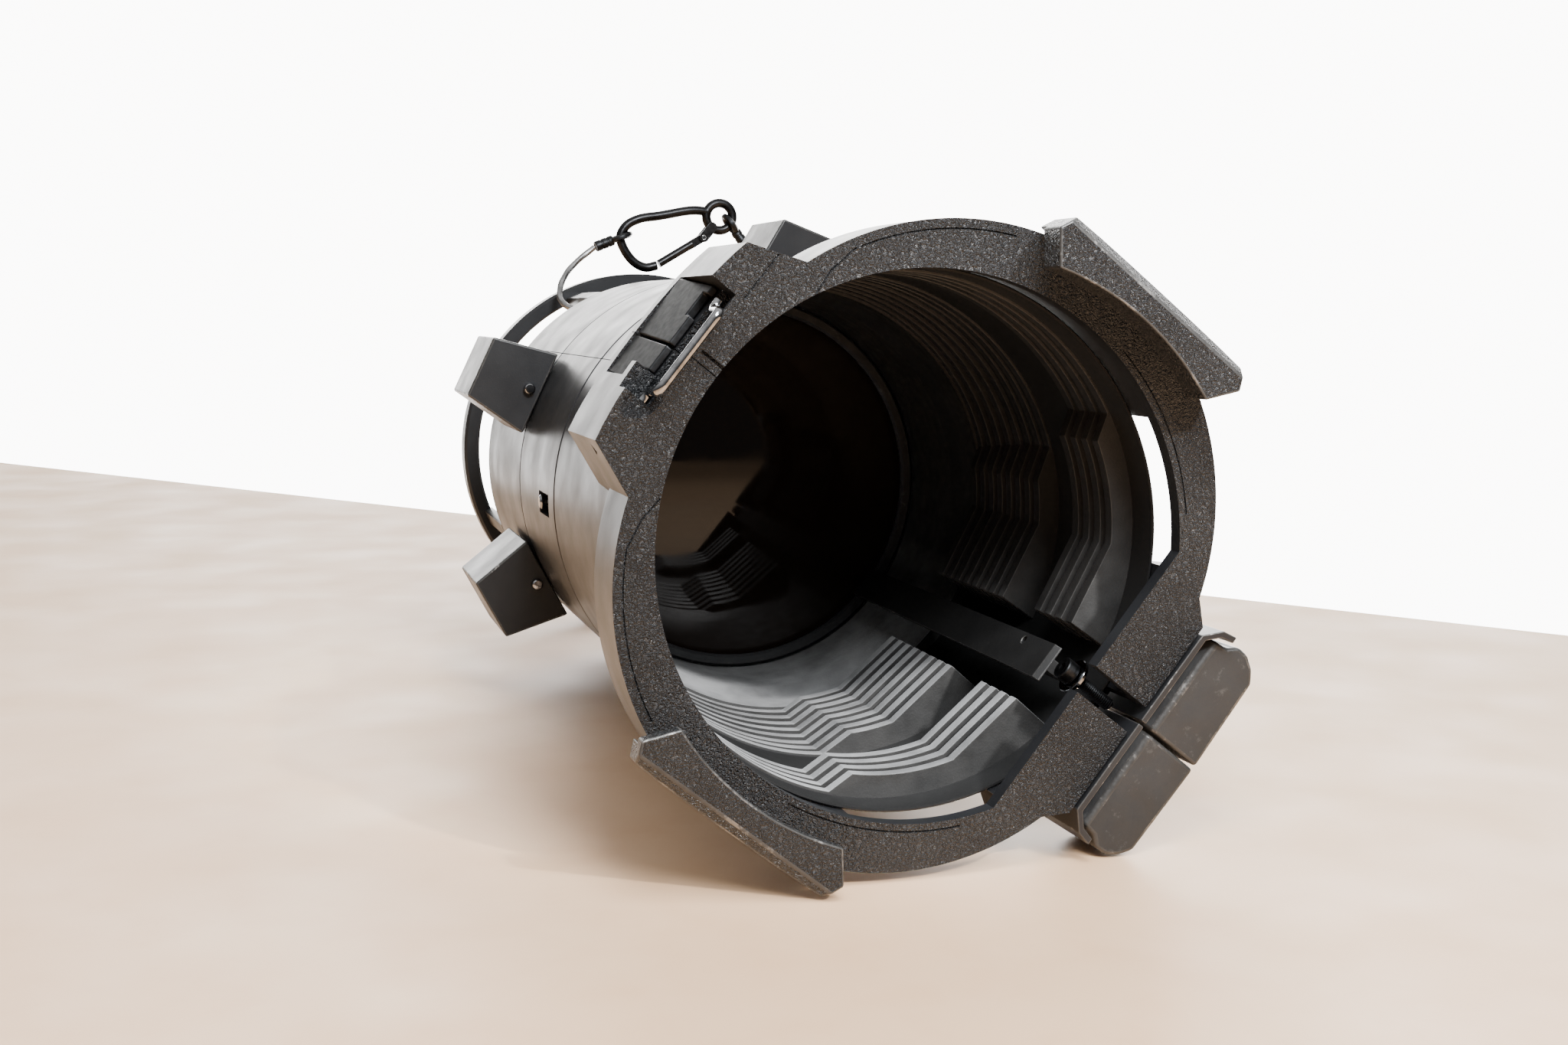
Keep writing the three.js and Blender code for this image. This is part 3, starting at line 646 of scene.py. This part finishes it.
def aperture_cutter():
    chord = math.sqrt(APERTURE_R**2 - CHORD_Z**2)
    start = math.degrees(math.atan2(CHORD_Z, chord))
    outline = [(-5, CHORD_Z), *arc(0, 0, APERTURE_R, start, 90, 96), (-5, APERTURE_R)]
    return prism(outline, -2, FACE_T + 2)


def collar_cutter():
    outline = [(-5, -COLLAR_BORE_R), *arc(0, 0, COLLAR_BORE_R, -90, 90, 128), (-5, COLLAR_BORE_R)]
    return prism(outline, FACE_T, BLOCK_END + 5)


def block_behind():
    """The latch block's part behind the collar."""
    foot = math.degrees(math.atan2(NOTCH[1] - 8, NOTCH[0]))
    top = [(max(x, SEAM), z) for x, z in BLOCK_TOP]
    inner = arc(0, 0, COLLAR_BORE_R, foot, 90 - 0.11, 24)
    return prism([*top, NOTCH, *inner], COLLAR_END - 1, BLOCK_END)


def pocket_cutters(name):
    """The latch block's pocket, from its lip at the front to the bed of the plate."""
    reach = POCKET_REACH[name]
    wide = max(reach, POCKET_HALF)
    return [
        box(-1, wide, -1, 1.7, POCKET_LIP_Z, ABOVE_BLOCK),
        box(-1, wide, 1.6, 7.6, POCKET_FLOOR_Z, ABOVE_BLOCK),
        box(-1, POCKET_HALF, 7.5, 9, POCKET_FLOOR_Z, PLATE_BED_Z + 0.1),
        box(-1, POCKET_NECK[name], 7.5, 13, PLATE_BED_Z, ABOVE_BLOCK),
        box(-1, reach, 12.9, 35, PLATE_BED_Z, ABOVE_BLOCK),
    ]


def window_cutter():
    low, high = WINDOW_DEG
    outer = arc(0, 0, 110, low, high, 16)
    inner = arc(0, 0, COLLAR_BORE_R - 3, high, low, 16)
    return prism(outer + inner, FACE_T, COLLAR_END + 1)


def face_lines(name):
    """Fine lines in the face: round the aperture, and beside the pocket on the right."""
    rim = arc(OUTLINE_OFFSET, 0, OUTLINE_R - 2.8, 61, 26, 20)
    low = arc(0, 0, APERTURE_R + 2.2, -8, -46, 24)
    lines = [groove([(34, 69), (41.3, 69.6), *rim], *FACE_LINE), groove(low, *FACE_LINE)]
    if name == "right":
        lines.append(groove([(20.4, 83.5), (35.5, 83.4)], *FACE_LINE))
        lines.append(groove([(2.9, 76.4), (2.9, 84)], 0.9, 0.8))
    return lines


def scallop():
    """The hollow in the face beside the end of the bail."""
    bm = bmesh.new()
    bmesh.ops.create_uvsphere(bm, u_segments=48, v_segments=24, radius=1)
    mesh = bpy.data.meshes.new("scallop")
    bm.to_mesh(mesh)
    bm.free()
    tilted = Matrix.Translation(SCALLOP_AT) @ Matrix.Rotation(-0.5, 4, "Y")
    mesh.transform(tilted @ Matrix.Diagonal(SCALLOP_RADII))
    return link_object("scallop", mesh)


def add_front_ring(name, coats):
    ring = prism(ring_outline(), 0, COLLAR_END, "front_ring")
    join(ring, block_behind())
    cut(ring, collar_cutter(), aperture_cutter(), *pocket_cutters(name), window_cutter())
    cut(ring, box(-1, 4.5, -1, 22, BRACKET_Z - 1, CHORD_Z + 1))
    if name == "left":
        cut(ring, scallop())
    weld(ring, 1e-3)
    soften(ring, CORNER, coats["satin"], coats["edge"])
    cut(ring, *face_lines(name))
    if name == "left":
        cut(ring, side_prism(SIDE_MARK, 29, 40))
    paint_front(ring, coats["crinkle"], 0.2)
    if name == "left":
        mirror(ring)
    piece(ring, "ring_" + name, "lens_tube", "front_ring_" + name)


def add_latch_plate(name, coats):
    plate = side_prism(PLATE_WEDGE, PLATE_GAP, POCKET_REACH[name] - PLATE_GAP, "plate")
    left, right, back = PLATE_NOTCH[name]
    cut(plate, box(left, right, 8, back, 87, 96))
    soften(plate, 0.45, coats["steel"])
    if name == "left":
        mirror(plate)
    piece(plate, "plate_" + name, "lens_tube", "latch_plate_" + name)


def finger_outline():
    x, z = FINGER_SHOULDER
    reach = math.degrees(math.asin(FINGER_INNER_HALF / FINGER_INNER_R))
    return [(x, -z), *FINGER_CROWN, (x, z), *arc(0, 0, FINGER_INNER_R, reach, -reach, 28)]


def add_finger(name, coats):
    front = FINGER_FRONT[name]
    finger = prism(finger_outline(), front, -0.3, "finger")
    cut(finger, box(50, CHANNEL_X, CHANNEL_S, 1, -60, 60))
    x, back = FINGER_BEVEL
    cut(finger, upright_prism([(x, front - 1), (96, front - 1), (96, front + back)], -60, 60))
    soften(finger, 0.8, coats["crinkle"], coats["finger_edge"], segments=4, angle=20)
    finger.data.transform(Matrix.Translation((0, 0, FINGER_RISE[name])))
    if name == "left":
        mirror(finger)
    piece(finger, "frame_finger_" + name, "lens_tube", "finger_" + name)


def add_lip(name, coats):
    lip = soften(prism(LIP_OUTLINE, -1, 28, "lip"), 0.35, coats["satin"], coats["edge"])
    if name == "left":
        mirror(lip)
    piece(lip, "lip_" + name, "lens_tube", "bracket_lip_" + name)


def add_bumper(name, coats):
    bumper = prism(BUMPER_OUTLINE, 3, 27, "bumper")
    cut(bumper, side_prism(BUMPER_SLOPE, -5, 60))
    soften(bumper, 1.2, coats["rubber"], coats["scuffed"], segments=4, angle=20)
    if name == "left":
        mirror(bumper)
    piece(bumper, "pad_" + name, "lens_tube", "bumper_" + name)


def add_clamp_screw(coats):
    """Hex-socket screw that goes down through the foot at the seam, and its bright washer."""
    thread = []
    for k in range(THREAD_TURNS):
        depth = THREAD_START + THREAD_PITCH * k
        thread += [(THREAD_R, depth), (THREAD_R - 0.4, depth + THREAD_PITCH / 2)]
    profile = [*CLAMP_SCREW_HEAD, *thread, (1.4, THREAD_END), (0, THREAD_END)]
    screw = lathe(profile, "screw", steps=48)
    cut(screw, prism(arc(0, 0, SOCKET_R, 0, 300, 5), 59, 62.4))
    upright = Matrix.Translation((0, CLAMP_SCREW_S, 0)) @ Matrix.Rotation(math.radians(-90), 4, "X")
    screw.data.transform(upright)
    piece(plain(screw, coats["steel"]), "seam_screw", "lens_tube", "clamp_screw")
    washer = lathe(WASHER, "washer", steps=48)
    washer.data.transform(upright)
    piece(plain(washer, coats["chrome"]), "seam_washer", "lens_tube", "clamp_washer")


def bend_path(corners, radius, steps):
    """A polyline whose inner corners are rounded."""
    path = [corners[0]]
    for i in range(1, len(corners) - 1):
        corner = corners[i]
        into = corner + (corners[i - 1] - corner).normalized() * radius
        out = corner + (corners[i + 1] - corner).normalized() * radius
        for k in range(steps + 1):
            t = k / steps
            path.append(into * (1 - t) ** 2 + corner * (2 * t * (1 - t)) + out * t**2)
    path.append(corners[-1])
    return path


def add_bail(coats):
    """A wire bent into a U, with its ends turned outwards on the hinge's line."""
    corners = [Vector((x, s, BAIL_PIVOT.z)) for x, s in BAIL_PATH]
    wire = sweep(bend_path(corners, BAIL_BEND_R, 8), BAIL_WIRE_R, "bail", sides=24)
    piece(plain(wire, coats["chrome"]), "bail_wire", "bail", "retaining_bail")


# --- lens tube ------------------------------------------------------------------------------------

def rib(s):
    """A rib round the bore: its edge steps in along a slanting wall, then runs flat to the lower seam."""
    side_r = RIB_SIDE_R - 0.06 * max(0, s - 95)
    corner_deg = -43 if s > DEEP_RIBS else -29
    x, z = arc(0, 0, RIB_CORNER_R, corner_deg, corner_deg, 1)[0]
    inwards = x * RIB_SLANT[0] + z * RIB_SLANT[1]
    length = -inwards + math.sqrt(inwards**2 + side_r**2 - RIB_CORNER_R**2)
    foot = (x + RIB_SLANT[0] * length, z + RIB_SLANT[1] * length)
    foot_deg = math.degrees(math.atan2(foot[1], foot[0]))
    side = arc(0, 0, side_r, 89, foot_deg, 60)
    step = arc(0, 0, RIB_CORNER_R, corner_deg, -55, 12)
    back = arc(0, 0, GROOVE_R + 0.3, -79, 89, 84)
    return prism([*side, *step, RIB_FOOT, *back], s, s + RIB_T, "rib")


def add_tube_half(name, coats):
    gap = math.degrees(SEAM / TUBE_R)
    outside = [
        (77, 17), (77.6, 17), (TUBE_R, 17.4), (TUBE_R, NECK_S - 0.4), (77.6, NECK_S), (NECK_R, NECK_S),
        (NECK_R, TUBE_END), (NECK_BORE_R, TUBE_END),
    ]
    bore = [
        (NECK_BORE_R, 197), (NECK_BORE_R, 158), (TUBE_BORE_R, 154), (TUBE_BORE_R, GROOVES_END),
        (GROOVE_R, GROOVES_END),
    ]
    half = lathe(outside + bore, "tube", -90 + gap, 90 - gap, 120)
    for coat in ("satin", "inner", "groove"):
        half.data.materials.append(coats[coat])
    # the bore between the front ribs gets the darker groove coat, painted shade in the grooves; the bore
    # further back gets the inner coat
    for polygon in half.data.polygons:
        middle = polygon.center
        if math.hypot(middle.x, middle.z) < GROOVE_R + 0.3 and middle.y < 200:
            polygon.material_index = 1 if middle.y > GROOVES_END - 1 else 2
    ribs = [soften(rib(s), 0.35, coats["inner"], segments=2) for s in RIB_S]
    for obj in ribs:
        for polygon in obj.data.polygons:
            polygon.material_index = 1
    merge(half, *ribs)
    if name == "left":
        mirror(half)
    piece(half, "tube_" + name, "lens_tube", "tube_half_" + name)


def add_seam_strip(coats):
    strip = prism(STRIP_OUTLINE, *STRIP_S, "strip")
    cut(strip, side_prism([(26, -60), (26, -64.4), (31, -60)], -10, 10))
    hole = prism(arc(0, 0, 1.3, 0, 337.5, 15), -5, 5)
    hole.data.transform(Matrix.Translation(STRIP_HOLE) @ Matrix.Rotation(math.radians(90), 4, "X"))
    cut(strip, hole)
    # the strip wears the darker groove coat, so it carries the same painted shade
    soften(strip, 0.4, coats["groove"], coats["edge"])
    piece(strip, "inner_strip", "lens_tube", "seam_strip")


def cap(rim_r, rim_s, sag, steps=20):
    """Profile of a domed face, from its crown on the axis to its rim."""
    return [(rim_r * i / steps, rim_s - sag * (1 - (i / steps) ** 2)) for i in range(steps + 1)]


def ring_profile(inner, outer, s0, s1, r=0.4):
    """Profile of a flat ring with its corners taken off."""
    front = [(inner, s0 + r), (inner + r, s0), (outer - r, s0), (outer, s0 + r)]
    back = [(outer, s1 - r), (outer - r, s1), (inner + r, s1), (inner, s1 - r)]
    return front + back


def add_lenses(coats):
    """The two lenses, the rings that hold the front one, and the rear one's carrier."""
    rim, back = LENS_S
    front = lathe([*cap(LENS_R, rim, LENS_SAG), (LENS_R, back), (0, back)], "lens", steps=128)
    piece(plain(front, coats["glass"]), "objective_lens", "lens_tube", "front_lens")
    near, far = REAR_LENS_S
    domes = [*cap(REAR_LENS_R, near, REAR_LENS_SAG), *cap(REAR_LENS_R, far, -REAR_LENS_SAG)[::-1]]
    rear = lathe(domes, "lens", steps=96)
    piece(plain(rear, coats["dark_glass"]), "field_lens", "lens_tube", "rear_lens")
    carrier = lathe(ring_profile(33.8, SEAT_R, 229, 232), "carrier", steps=128)
    piece(plain(carrier, coats["inner"]), "lens_carrier", "lens_tube", "rear_lens_carrier")
    gasket = lathe(ring_profile(66, SEAT_R, 197.4, 200.4, 0.9), "gasket", steps=128)
    piece(plain(gasket, coats["rubber"]), "gasket_ring", "lens_tube", "lens_gasket")
    retainer = lathe(ring_profile(66, SEAT_R, 210.5, 213.5, 0.5), "retainer", steps=128)
    piece(plain(retainer, coats["steel"]), "retainer_ring", "lens_tube", "lens_retainer")


# --- barrel ---------------------------------------------------------------------------------------

def add_barrel_half(name, coats):
    """Half of the barrel, with a shallow line round it; the left half has the guide screw's slot."""
    gap = math.degrees(SEAM / BARREL_R)
    front, back = BARREL_S
    line = [(BARREL_R, 228.2), (77, 228.4), (77, 229.6), (BARREL_R, 229.8)]
    profile = [
        (75.9, front), (77.4, front), (BARREL_R, front + 0.6), *line, (BARREL_R, back - 0.6), (77.4, back),
        (75.9, back), (BARREL_BORE_R, back - 0.4), (BARREL_BORE_R, front + 0.4),
    ]
    half = lathe(profile, "barrel", -90 + gap, 90 - gap, 120)
    if name == "left":
        mirror(half)
        cut(half, turn(box(63, 93, 163, 183, -4, 4), own(GUIDE_DEG)))
    plain(half, coats["satin"])
    piece(half, "barrel_" + name, "barrel", "barrel_half_" + name)


def add_guide_screw(coats):
    """Headed screw that stands out of the tube through the barrel's slot."""
    shank = [(0, 74.9), (1.5, 74.9), (1.5, 76.2)]
    head = [(2.4, 76.2), (2.6, 76.5), (2.6, 77.9), (2.0, 78.6), (0, 78.6)]
    screw = lathe(shank + head, "guide", steps=32)
    outwards = Matrix.Rotation(math.radians(-90), 4, "Z")
    screw.data.transform(Matrix.Translation((0, GUIDE_S, 0)) @ outwards)
    turn(screw, own(GUIDE_DEG))
    piece(plain(screw, coats["chrome"]), "guide_pin", "lens_tube", "guide_screw")


def add_rear_ring(coats):
    """The band behind the barrel, carried on four spokes."""
    ring = lathe(REAR_RING, "ring")
    for degrees in SPOKE_DEG:
        spoke = box(74, BARREL_R, 320.3, 377, -SPOKE_HALF, SPOKE_HALF)
        soften(spoke, 0.6, coats["satin"])
        join(ring, turn(spoke, own(degrees)))
    plain(ring, coats["satin"])
    piece(ring, "end_ring", "barrel", "rear_ring")


def add_fins(coats):
    """Four fins round the barrel, each with a screw in its front edge."""
    screw_profile = [(0, 219.4), (1.6, 219.5), (2.1, 220), (2.2, 220.5), (2.2, 221.7), (0, 221.7)]
    for i, degrees in enumerate(FIN_DEG, 1):
        fin = prism(FIN_OUTLINE, *FIN_S, "fin")
        soften(fin, 0.8, coats["satin"], coats["edge"])
        turn(fin, own(degrees))
        piece(fin, f"vane_{i}", "barrel", f"fin_{i}")
        screw = lathe(screw_profile, "screw", steps=24)
        screw.data.transform(Matrix.Translation((FIN_SCREW_R, 0, 0)))
        turn(screw, own(degrees))
        piece(plain(screw, coats["chrome"]), f"vane_screw_{i}", "barrel", f"fin_screw_{i}")


# --- carabiner and safety cable -------------------------------------------------------------------

HOOK_S = 379  # the carabiner's plane
HOOK_ROUTE = [
    (34.9, 111.3), (28, 111.8), (12.1, 109.1), (1.9, 107.4), (-4.1, 104.2), (-7, 99), (-4.9, 92.6),
    (-0.1, 87), (5, 84.9), (10.2, 85.9),
]
HOOK_WIRE_R = 2.14
EYE = (40.9, 109)
EYE_R = 6.4
GATE_PIVOT = (32.8, 99.2)
GATE_SHOULDER = (26, 95.2)
GATE_NOSE = (11.2, 86.6)
CHEEK_TOP = (36.9, 104)
CHEEK_FACES = (1.5, 2.4)  # from the carabiner's plane
GATE_R = 1.9
GATE_HALF = 1.2
PIN_R = 0.8
PIN_HOLE_R = 1.1

CABLE_R = 1.4
STRAND_DEPTH = 0.11  # of the grooves between strands, as a part of the radius
LOOP_R = 4.6
SLEEVE_LENGTH = 9
SLEEVE_PROFILE = [  # distance along it and radius, with two crimped bands
    (0, 2.2), (0.3, 2.45), (2.6, 2.5), (2.9, 2.25), (3.4, 2.25), (3.7, 2.5), (5.6, 2.5), (5.9, 2.25),
    (6.4, 2.25), (6.7, 2.5), (8.7, 2.45), (9, 2.2),
]
EYE_LOOP = (Vector((46.2, HOOK_S, 105.4)), Vector((-0.56, 0.2, 0.8)).normalized())
HOOK_LOOP = (Vector((-7, HOOK_S, 98.8)), Vector((0.93, 0.12, 0.35)).normalized())
CABLE_ROUTE = [
    (54.6, 374.5, 91.5), (56.4, 371, 86), (56.8, 366, 78), (54.5, 361, 69.5), (49.8, 357, 62),
    (42, 353.5, 58), (31, 351, 60), (17, 350, 64.5), (2, 350, 67.3), (-13, 351, 67.4), (-26, 353.5, 65.4),
    (-34.2, 357.5, 65.8), (-38.2, 362.5, 69.5), (-37.6, 367.5, 75.4), (-34.2, 371.5, 81.5), (-29, 375, 86.8),
]


def spline(points, steps=8):
    """Centripetal Catmull-Rom curve through the points."""
    ends = [points[0] * 2 - points[1], *points, points[-1] * 2 - points[-2]]
    curve = []
    for p0, p1, p2, p3 in zip(ends, ends[1:], ends[2:], ends[3:]):
        t0 = 0.0
        t1 = t0 + math.sqrt((p1 - p0).length)
        t2 = t1 + math.sqrt((p2 - p1).length)
        t3 = t2 + math.sqrt((p3 - p2).length)
        for i in range(steps):
            t = t1 + (t2 - t1) * i / steps
            a1 = p0 * ((t1 - t) / (t1 - t0)) + p1 * ((t - t0) / (t1 - t0))
            a2 = p1 * ((t2 - t) / (t2 - t1)) + p2 * ((t - t1) / (t2 - t1))
            a3 = p2 * ((t3 - t) / (t3 - t2)) + p3 * ((t - t2) / (t3 - t2))
            b1 = a1 * ((t2 - t) / (t2 - t0)) + a2 * ((t - t0) / (t2 - t0))
            b2 = a2 * ((t3 - t) / (t3 - t1)) + a3 * ((t - t1) / (t3 - t1))
            curve.append(b1 * ((t2 - t) / (t2 - t1)) + b2 * ((t - t1) / (t2 - t1)))
    return curve + [points[-1]]


def sleeve_start(loop, beyond=0.0):
    centre, out = loop
    return centre - out * (LOOP_R - 0.6 + SLEEVE_LENGTH + beyond)


def loop_points(loop, steps=40):
    centre, out = loop
    normal = out.cross(Vector((0, 1, 0))).normalized()
    other = normal.cross(out)
    angles = [2 * math.pi * i / steps for i in range(steps)]
    return [centre + out * (LOOP_R * math.cos(a)) + other * (LOOP_R * math.sin(a)) for a in angles]


def add_cable_loop(name, loop, coats):
    """The end of the cable bent round into an eye, with its crimped sleeve."""
    eye = sweep(loop_points(loop), CABLE_R, "eye", sides=18, closed=True, strands=6)
    out = loop[1]
    start = sleeve_start(loop)
    side = out.orthogonal().normalized()
    other = out.cross(side)
    sides = 24
    vertices = []
    for distance, r in SLEEVE_PROFILE:
        for k in range(sides):
            a = 2 * math.pi * k / sides
            vertices.append(start + out * distance + side * (r * math.cos(a)) + other * (r * math.sin(a)))
    merge(eye, mesh_object("sleeve", vertices, tube_faces(len(SLEEVE_PROFILE), sides)))
    return piece(plain(eye, coats["steel"]), name + "_crimp", "barrel", name, into=LYING)


def add_safety_cable(coats):
    ends = (("cable_loop_eye", EYE_LOOP), ("cable_loop_hook", HOOK_LOOP))
    loops = [add_cable_loop(name, loop, coats) for name, loop in ends]
    route = [sleeve_start(EYE_LOOP, 0.8), *[Vector(p) for p in CABLE_ROUTE], sleeve_start(HOOK_LOOP, 0.8)]
    points = spline(route, 14)
    cable = sweep(points, CABLE_R, "cable", sides=24, strands=6, twist=0.55)
    plain(cable, coats["cable"])
    piece(cable, "wire_rope", "barrel", "safety_cable", into=LYING, sharp=80)


def hook_point(p):
    return Vector((p[0], HOOK_S, p[1]))


def bar(start, end, half, s0, s1, name="bar"):
    """A flat bar with round ends in the carabiner's plane."""
    a = math.degrees(math.atan2(end[1] - start[1], end[0] - start[0]))
    outline = arc(*end, half, a - 90, a + 90, 12) + arc(*start, half, a + 90, a + 270, 12)
    return prism(outline, s0, s1, name)


def pin_hole():
    return prism(arc(*GATE_PIVOT, PIN_HOLE_R, 0, 345, 23), HOOK_S - 5, HOOK_S + 5)


def add_hook_body(coats):
    """The bent wire with its eye, and the two cheeks that the gate turns between."""
    route = spline([hook_point(p) for p in HOOK_ROUTE], 8)
    body = sweep(route, HOOK_WIRE_R, "hook", sides=20)
    angles = [2 * math.pi * i / 48 for i in range(48)]
    eye = [hook_point((EYE[0] + EYE_R * math.cos(a), EYE[1] + EYE_R * math.sin(a))) for a in angles]
    join(body, sweep(eye, HOOK_WIRE_R, "eye", sides=20, closed=True))
    for side in (-1, 1):
        faces = sorted(HOOK_S + side * offset for offset in CHEEK_FACES)
        cheek = bar(CHEEK_TOP, GATE_PIVOT, 2.3, *faces)
        cut(cheek, pin_hole())
        join(body, soften(cheek, 0.15, coats["cable"], segments=2))
    piece(plain(body, coats["hook"]), "hook_body", "barrel", "carabiner_body", into=LYING)


def add_gate(coats):
    """The flat blade on the pin, and the round rod that reaches the nose."""
    gate = bar(GATE_PIVOT, GATE_SHOULDER, GATE_R, HOOK_S - GATE_HALF, HOOK_S + GATE_HALF)
    start = hook_point(GATE_SHOULDER).lerp(hook_point(GATE_PIVOT), 0.2)
    rod = [start.lerp(hook_point(GATE_NOSE), t) for t in (0, 0.03, 0.5, 0.97, 1)]
    join(gate, sweep(rod, GATE_R, "rod", sides=24))
    cut(gate, pin_hole())
    piece(plain(gate, coats["hook"]), "hook_gate", "gate", "carabiner_gate", into=LYING)


def add_gate_pin(coats):
    half = CHEEK_FACES[1]
    pin = prism(arc(*GATE_PIVOT, PIN_R, 0, 337.5, 15), HOOK_S - half, HOOK_S + half)
    soften(pin, 0.15, coats["steel"], segments=2)
    piece(pin, "hook_pin", "barrel", "gate_pin", into=LYING)


# --- stage ----------------------------------------------------------------------------------------

WALL_SIDE = Vector((0.40, 0.917, 0.0)).normalized()  # towards the studio's white wall
TABLE_EDGE = Vector((0.755, 0.656, 0)) * 0.336  # nearest point of the table's edge
TABLE_REACH = 4
AMBIENT = 0.12
CEILING_GLOW = 1.1
WALL_GLOW = 11
COOL_WHITE = (0.94, 0.97, 1.0)


def add_stage():
    """A table top that ends at one edge and runs far out the other ways."""
    across = TABLE_EDGE.normalized()
    along = across.cross(Vector((0, 0, 1)))
    corners = [TABLE_EDGE + along * TABLE_REACH, TABLE_EDGE - along * TABLE_REACH]
    corners += [corners[1] - across * TABLE_REACH, corners[0] - across * TABLE_REACH]
    floor = mesh_object("floor", corners, [(0, 1, 2, 3)])
    if floor.data.polygons[0].normal.z < 0:
        floor.data.flip_normals()
    plain(floor, floor_paint())


def sky_part(tree, direction, low, high, least, most):
    """How strongly the studio shines: from least to most as the look turns towards a direction."""
    towards = tree.nodes.new("ShaderNodeVectorMath")
    towards.operation = "DOT_PRODUCT"
    towards.inputs[1].default_value = direction
    tree.links.new(tree.nodes["directions"].outputs["Generated"], towards.inputs[0])
    part = tree.nodes.new("ShaderNodeMapRange")
    part.interpolation_type = "SMOOTHSTEP"
    part.inputs["From Min"].default_value = low
    part.inputs["From Max"].default_value = high
    part.inputs["To Min"].default_value = least
    part.inputs["To Max"].default_value = most
    tree.links.new(towards.outputs["Value"], part.inputs["Value"])
    return part.outputs["Result"]


def add_studio():
    """Dim all round, with a pale ceiling and a white wall behind the table."""
    world = bpy.data.worlds.new("studio")
    scene.world = world
    world.use_nodes = True
    tree = world.node_tree
    tree.nodes.new("ShaderNodeTexCoord").name = "directions"
    background = tree.nodes["Background"]
    background.inputs["Color"].default_value = (1.0, 0.985, 0.965, 1)
    ceiling = sky_part(tree, Vector((0, 0, 1)), 0.1, 1.0, AMBIENT, AMBIENT + CEILING_GLOW)
    wall = sky_part(tree, WALL_SIDE, 0.79, 0.86, 0, WALL_GLOW)
    both = tree.nodes.new("ShaderNodeMath")
    both.operation = "ADD"
    tree.links.new(ceiling, both.inputs[0])
    tree.links.new(wall, both.inputs[1])
    tree.links.new(both.outputs["Value"], background.inputs["Strength"])


def aim(data, location, target):
    """Stands a light in the scene, turned towards a target."""
    light = bpy.data.objects.new(data.name, data)
    light.location = location
    light.rotation_euler = (Vector(target) - Vector(location)).to_track_quat("-Z", "Y").to_euler()
    scene.collection.objects.link(light)


def add_light(name, location, target, size, power):
    data = bpy.data.lights.new(name, "AREA")
    data.size = size
    data.energy = power
    data.color = COOL_WHITE
    aim(data, location, target)


def add_beam(location, target, degrees, power):
    """A soft-edged spot that shines down the tube."""
    data = bpy.data.lights.new("beam", "SPOT")
    data.spot_size = math.radians(degrees)
    data.spot_blend = 0.6
    data.shadow_soft_size = 0.05
    data.energy = power
    aim(data, location, target)


# --- the whole object -----------------------------------------------------------------------------

def all_coats():
    return {
        "satin": satin_coat("satin_coat", (0.010, 0.0105, 0.012), (0.020, 0.021, 0.023), (0.32, 0.44)),
        "crinkle": crinkle_coat(),
        "edge": worn_edge("worn_edge", 0.64, (0.30, 0.29, 0.28)),
        "finger_edge": worn_edge("worn_finger", 0.60, (0.20, 0.195, 0.19)),
        "scuffed": worn_edge("scuffed_rubber", 0.60, (0.16, 0.155, 0.15)),
        "inner": inner_coat(),
        # darker than the satin coat and without dust: painted shade in the grooves between the ribs
        "groove": satin_coat("groove_shade_coat", (0.008, 0.008, 0.008), (0.014, 0.014, 0.014), (0.5, 0.65)),
        "rubber": rubber_skin(),
        "chrome": metal("chrome_plate", (0.36, 0.365, 0.38), (0.04, 0.12)),
        "steel": metal("dark_steel", (0.035, 0.036, 0.038), (0.34, 0.48)),
        "hook": metal("hook_steel", (0.03, 0.03, 0.031), (0.25, 0.42)),
        "cable": metal("cable_steel", (0.30, 0.30, 0.30), (0.28, 0.45)),
        # near-black opaque colours: painted shade for the dark inside of the tube seen through the lenses
        "glass": lens_glass("lens_glass", (0.012, 0.008, 0.006)),
        "dark_glass": lens_glass("lens_glass_deep", (0.03, 0.02, 0.014)),
    }


make_camera()
coats = all_coats()
add_safety_cable(coats)
add_hook_body(coats)
add_gate(coats)
add_gate_pin(coats)
for side_name in ("right", "left"):
    add_front_ring(side_name, coats)
    add_latch_plate(side_name, coats)
    add_finger(side_name, coats)
    add_lip(side_name, coats)
    add_bumper(side_name, coats)
    add_tube_half(side_name, coats)
    add_barrel_half(side_name, coats)
add_clamp_screw(coats)
add_bail(coats)
add_seam_strip(coats)
add_lenses(coats)
add_guide_screw(coats)
add_rear_ring(coats)
add_fins(coats)
add_stage()
add_studio()
add_light("key", (0.10, -1.15, 0.95), (0, -0.1, 0.05), 0.4, 19)
add_light("top", (-0.05, -0.42, 0.52), (0, -0.18, 0.15), 0.2, 3.8)
add_beam((0.42, -1.12, 0.88), (-0.02, -0.12, 0.06), 9, 190)
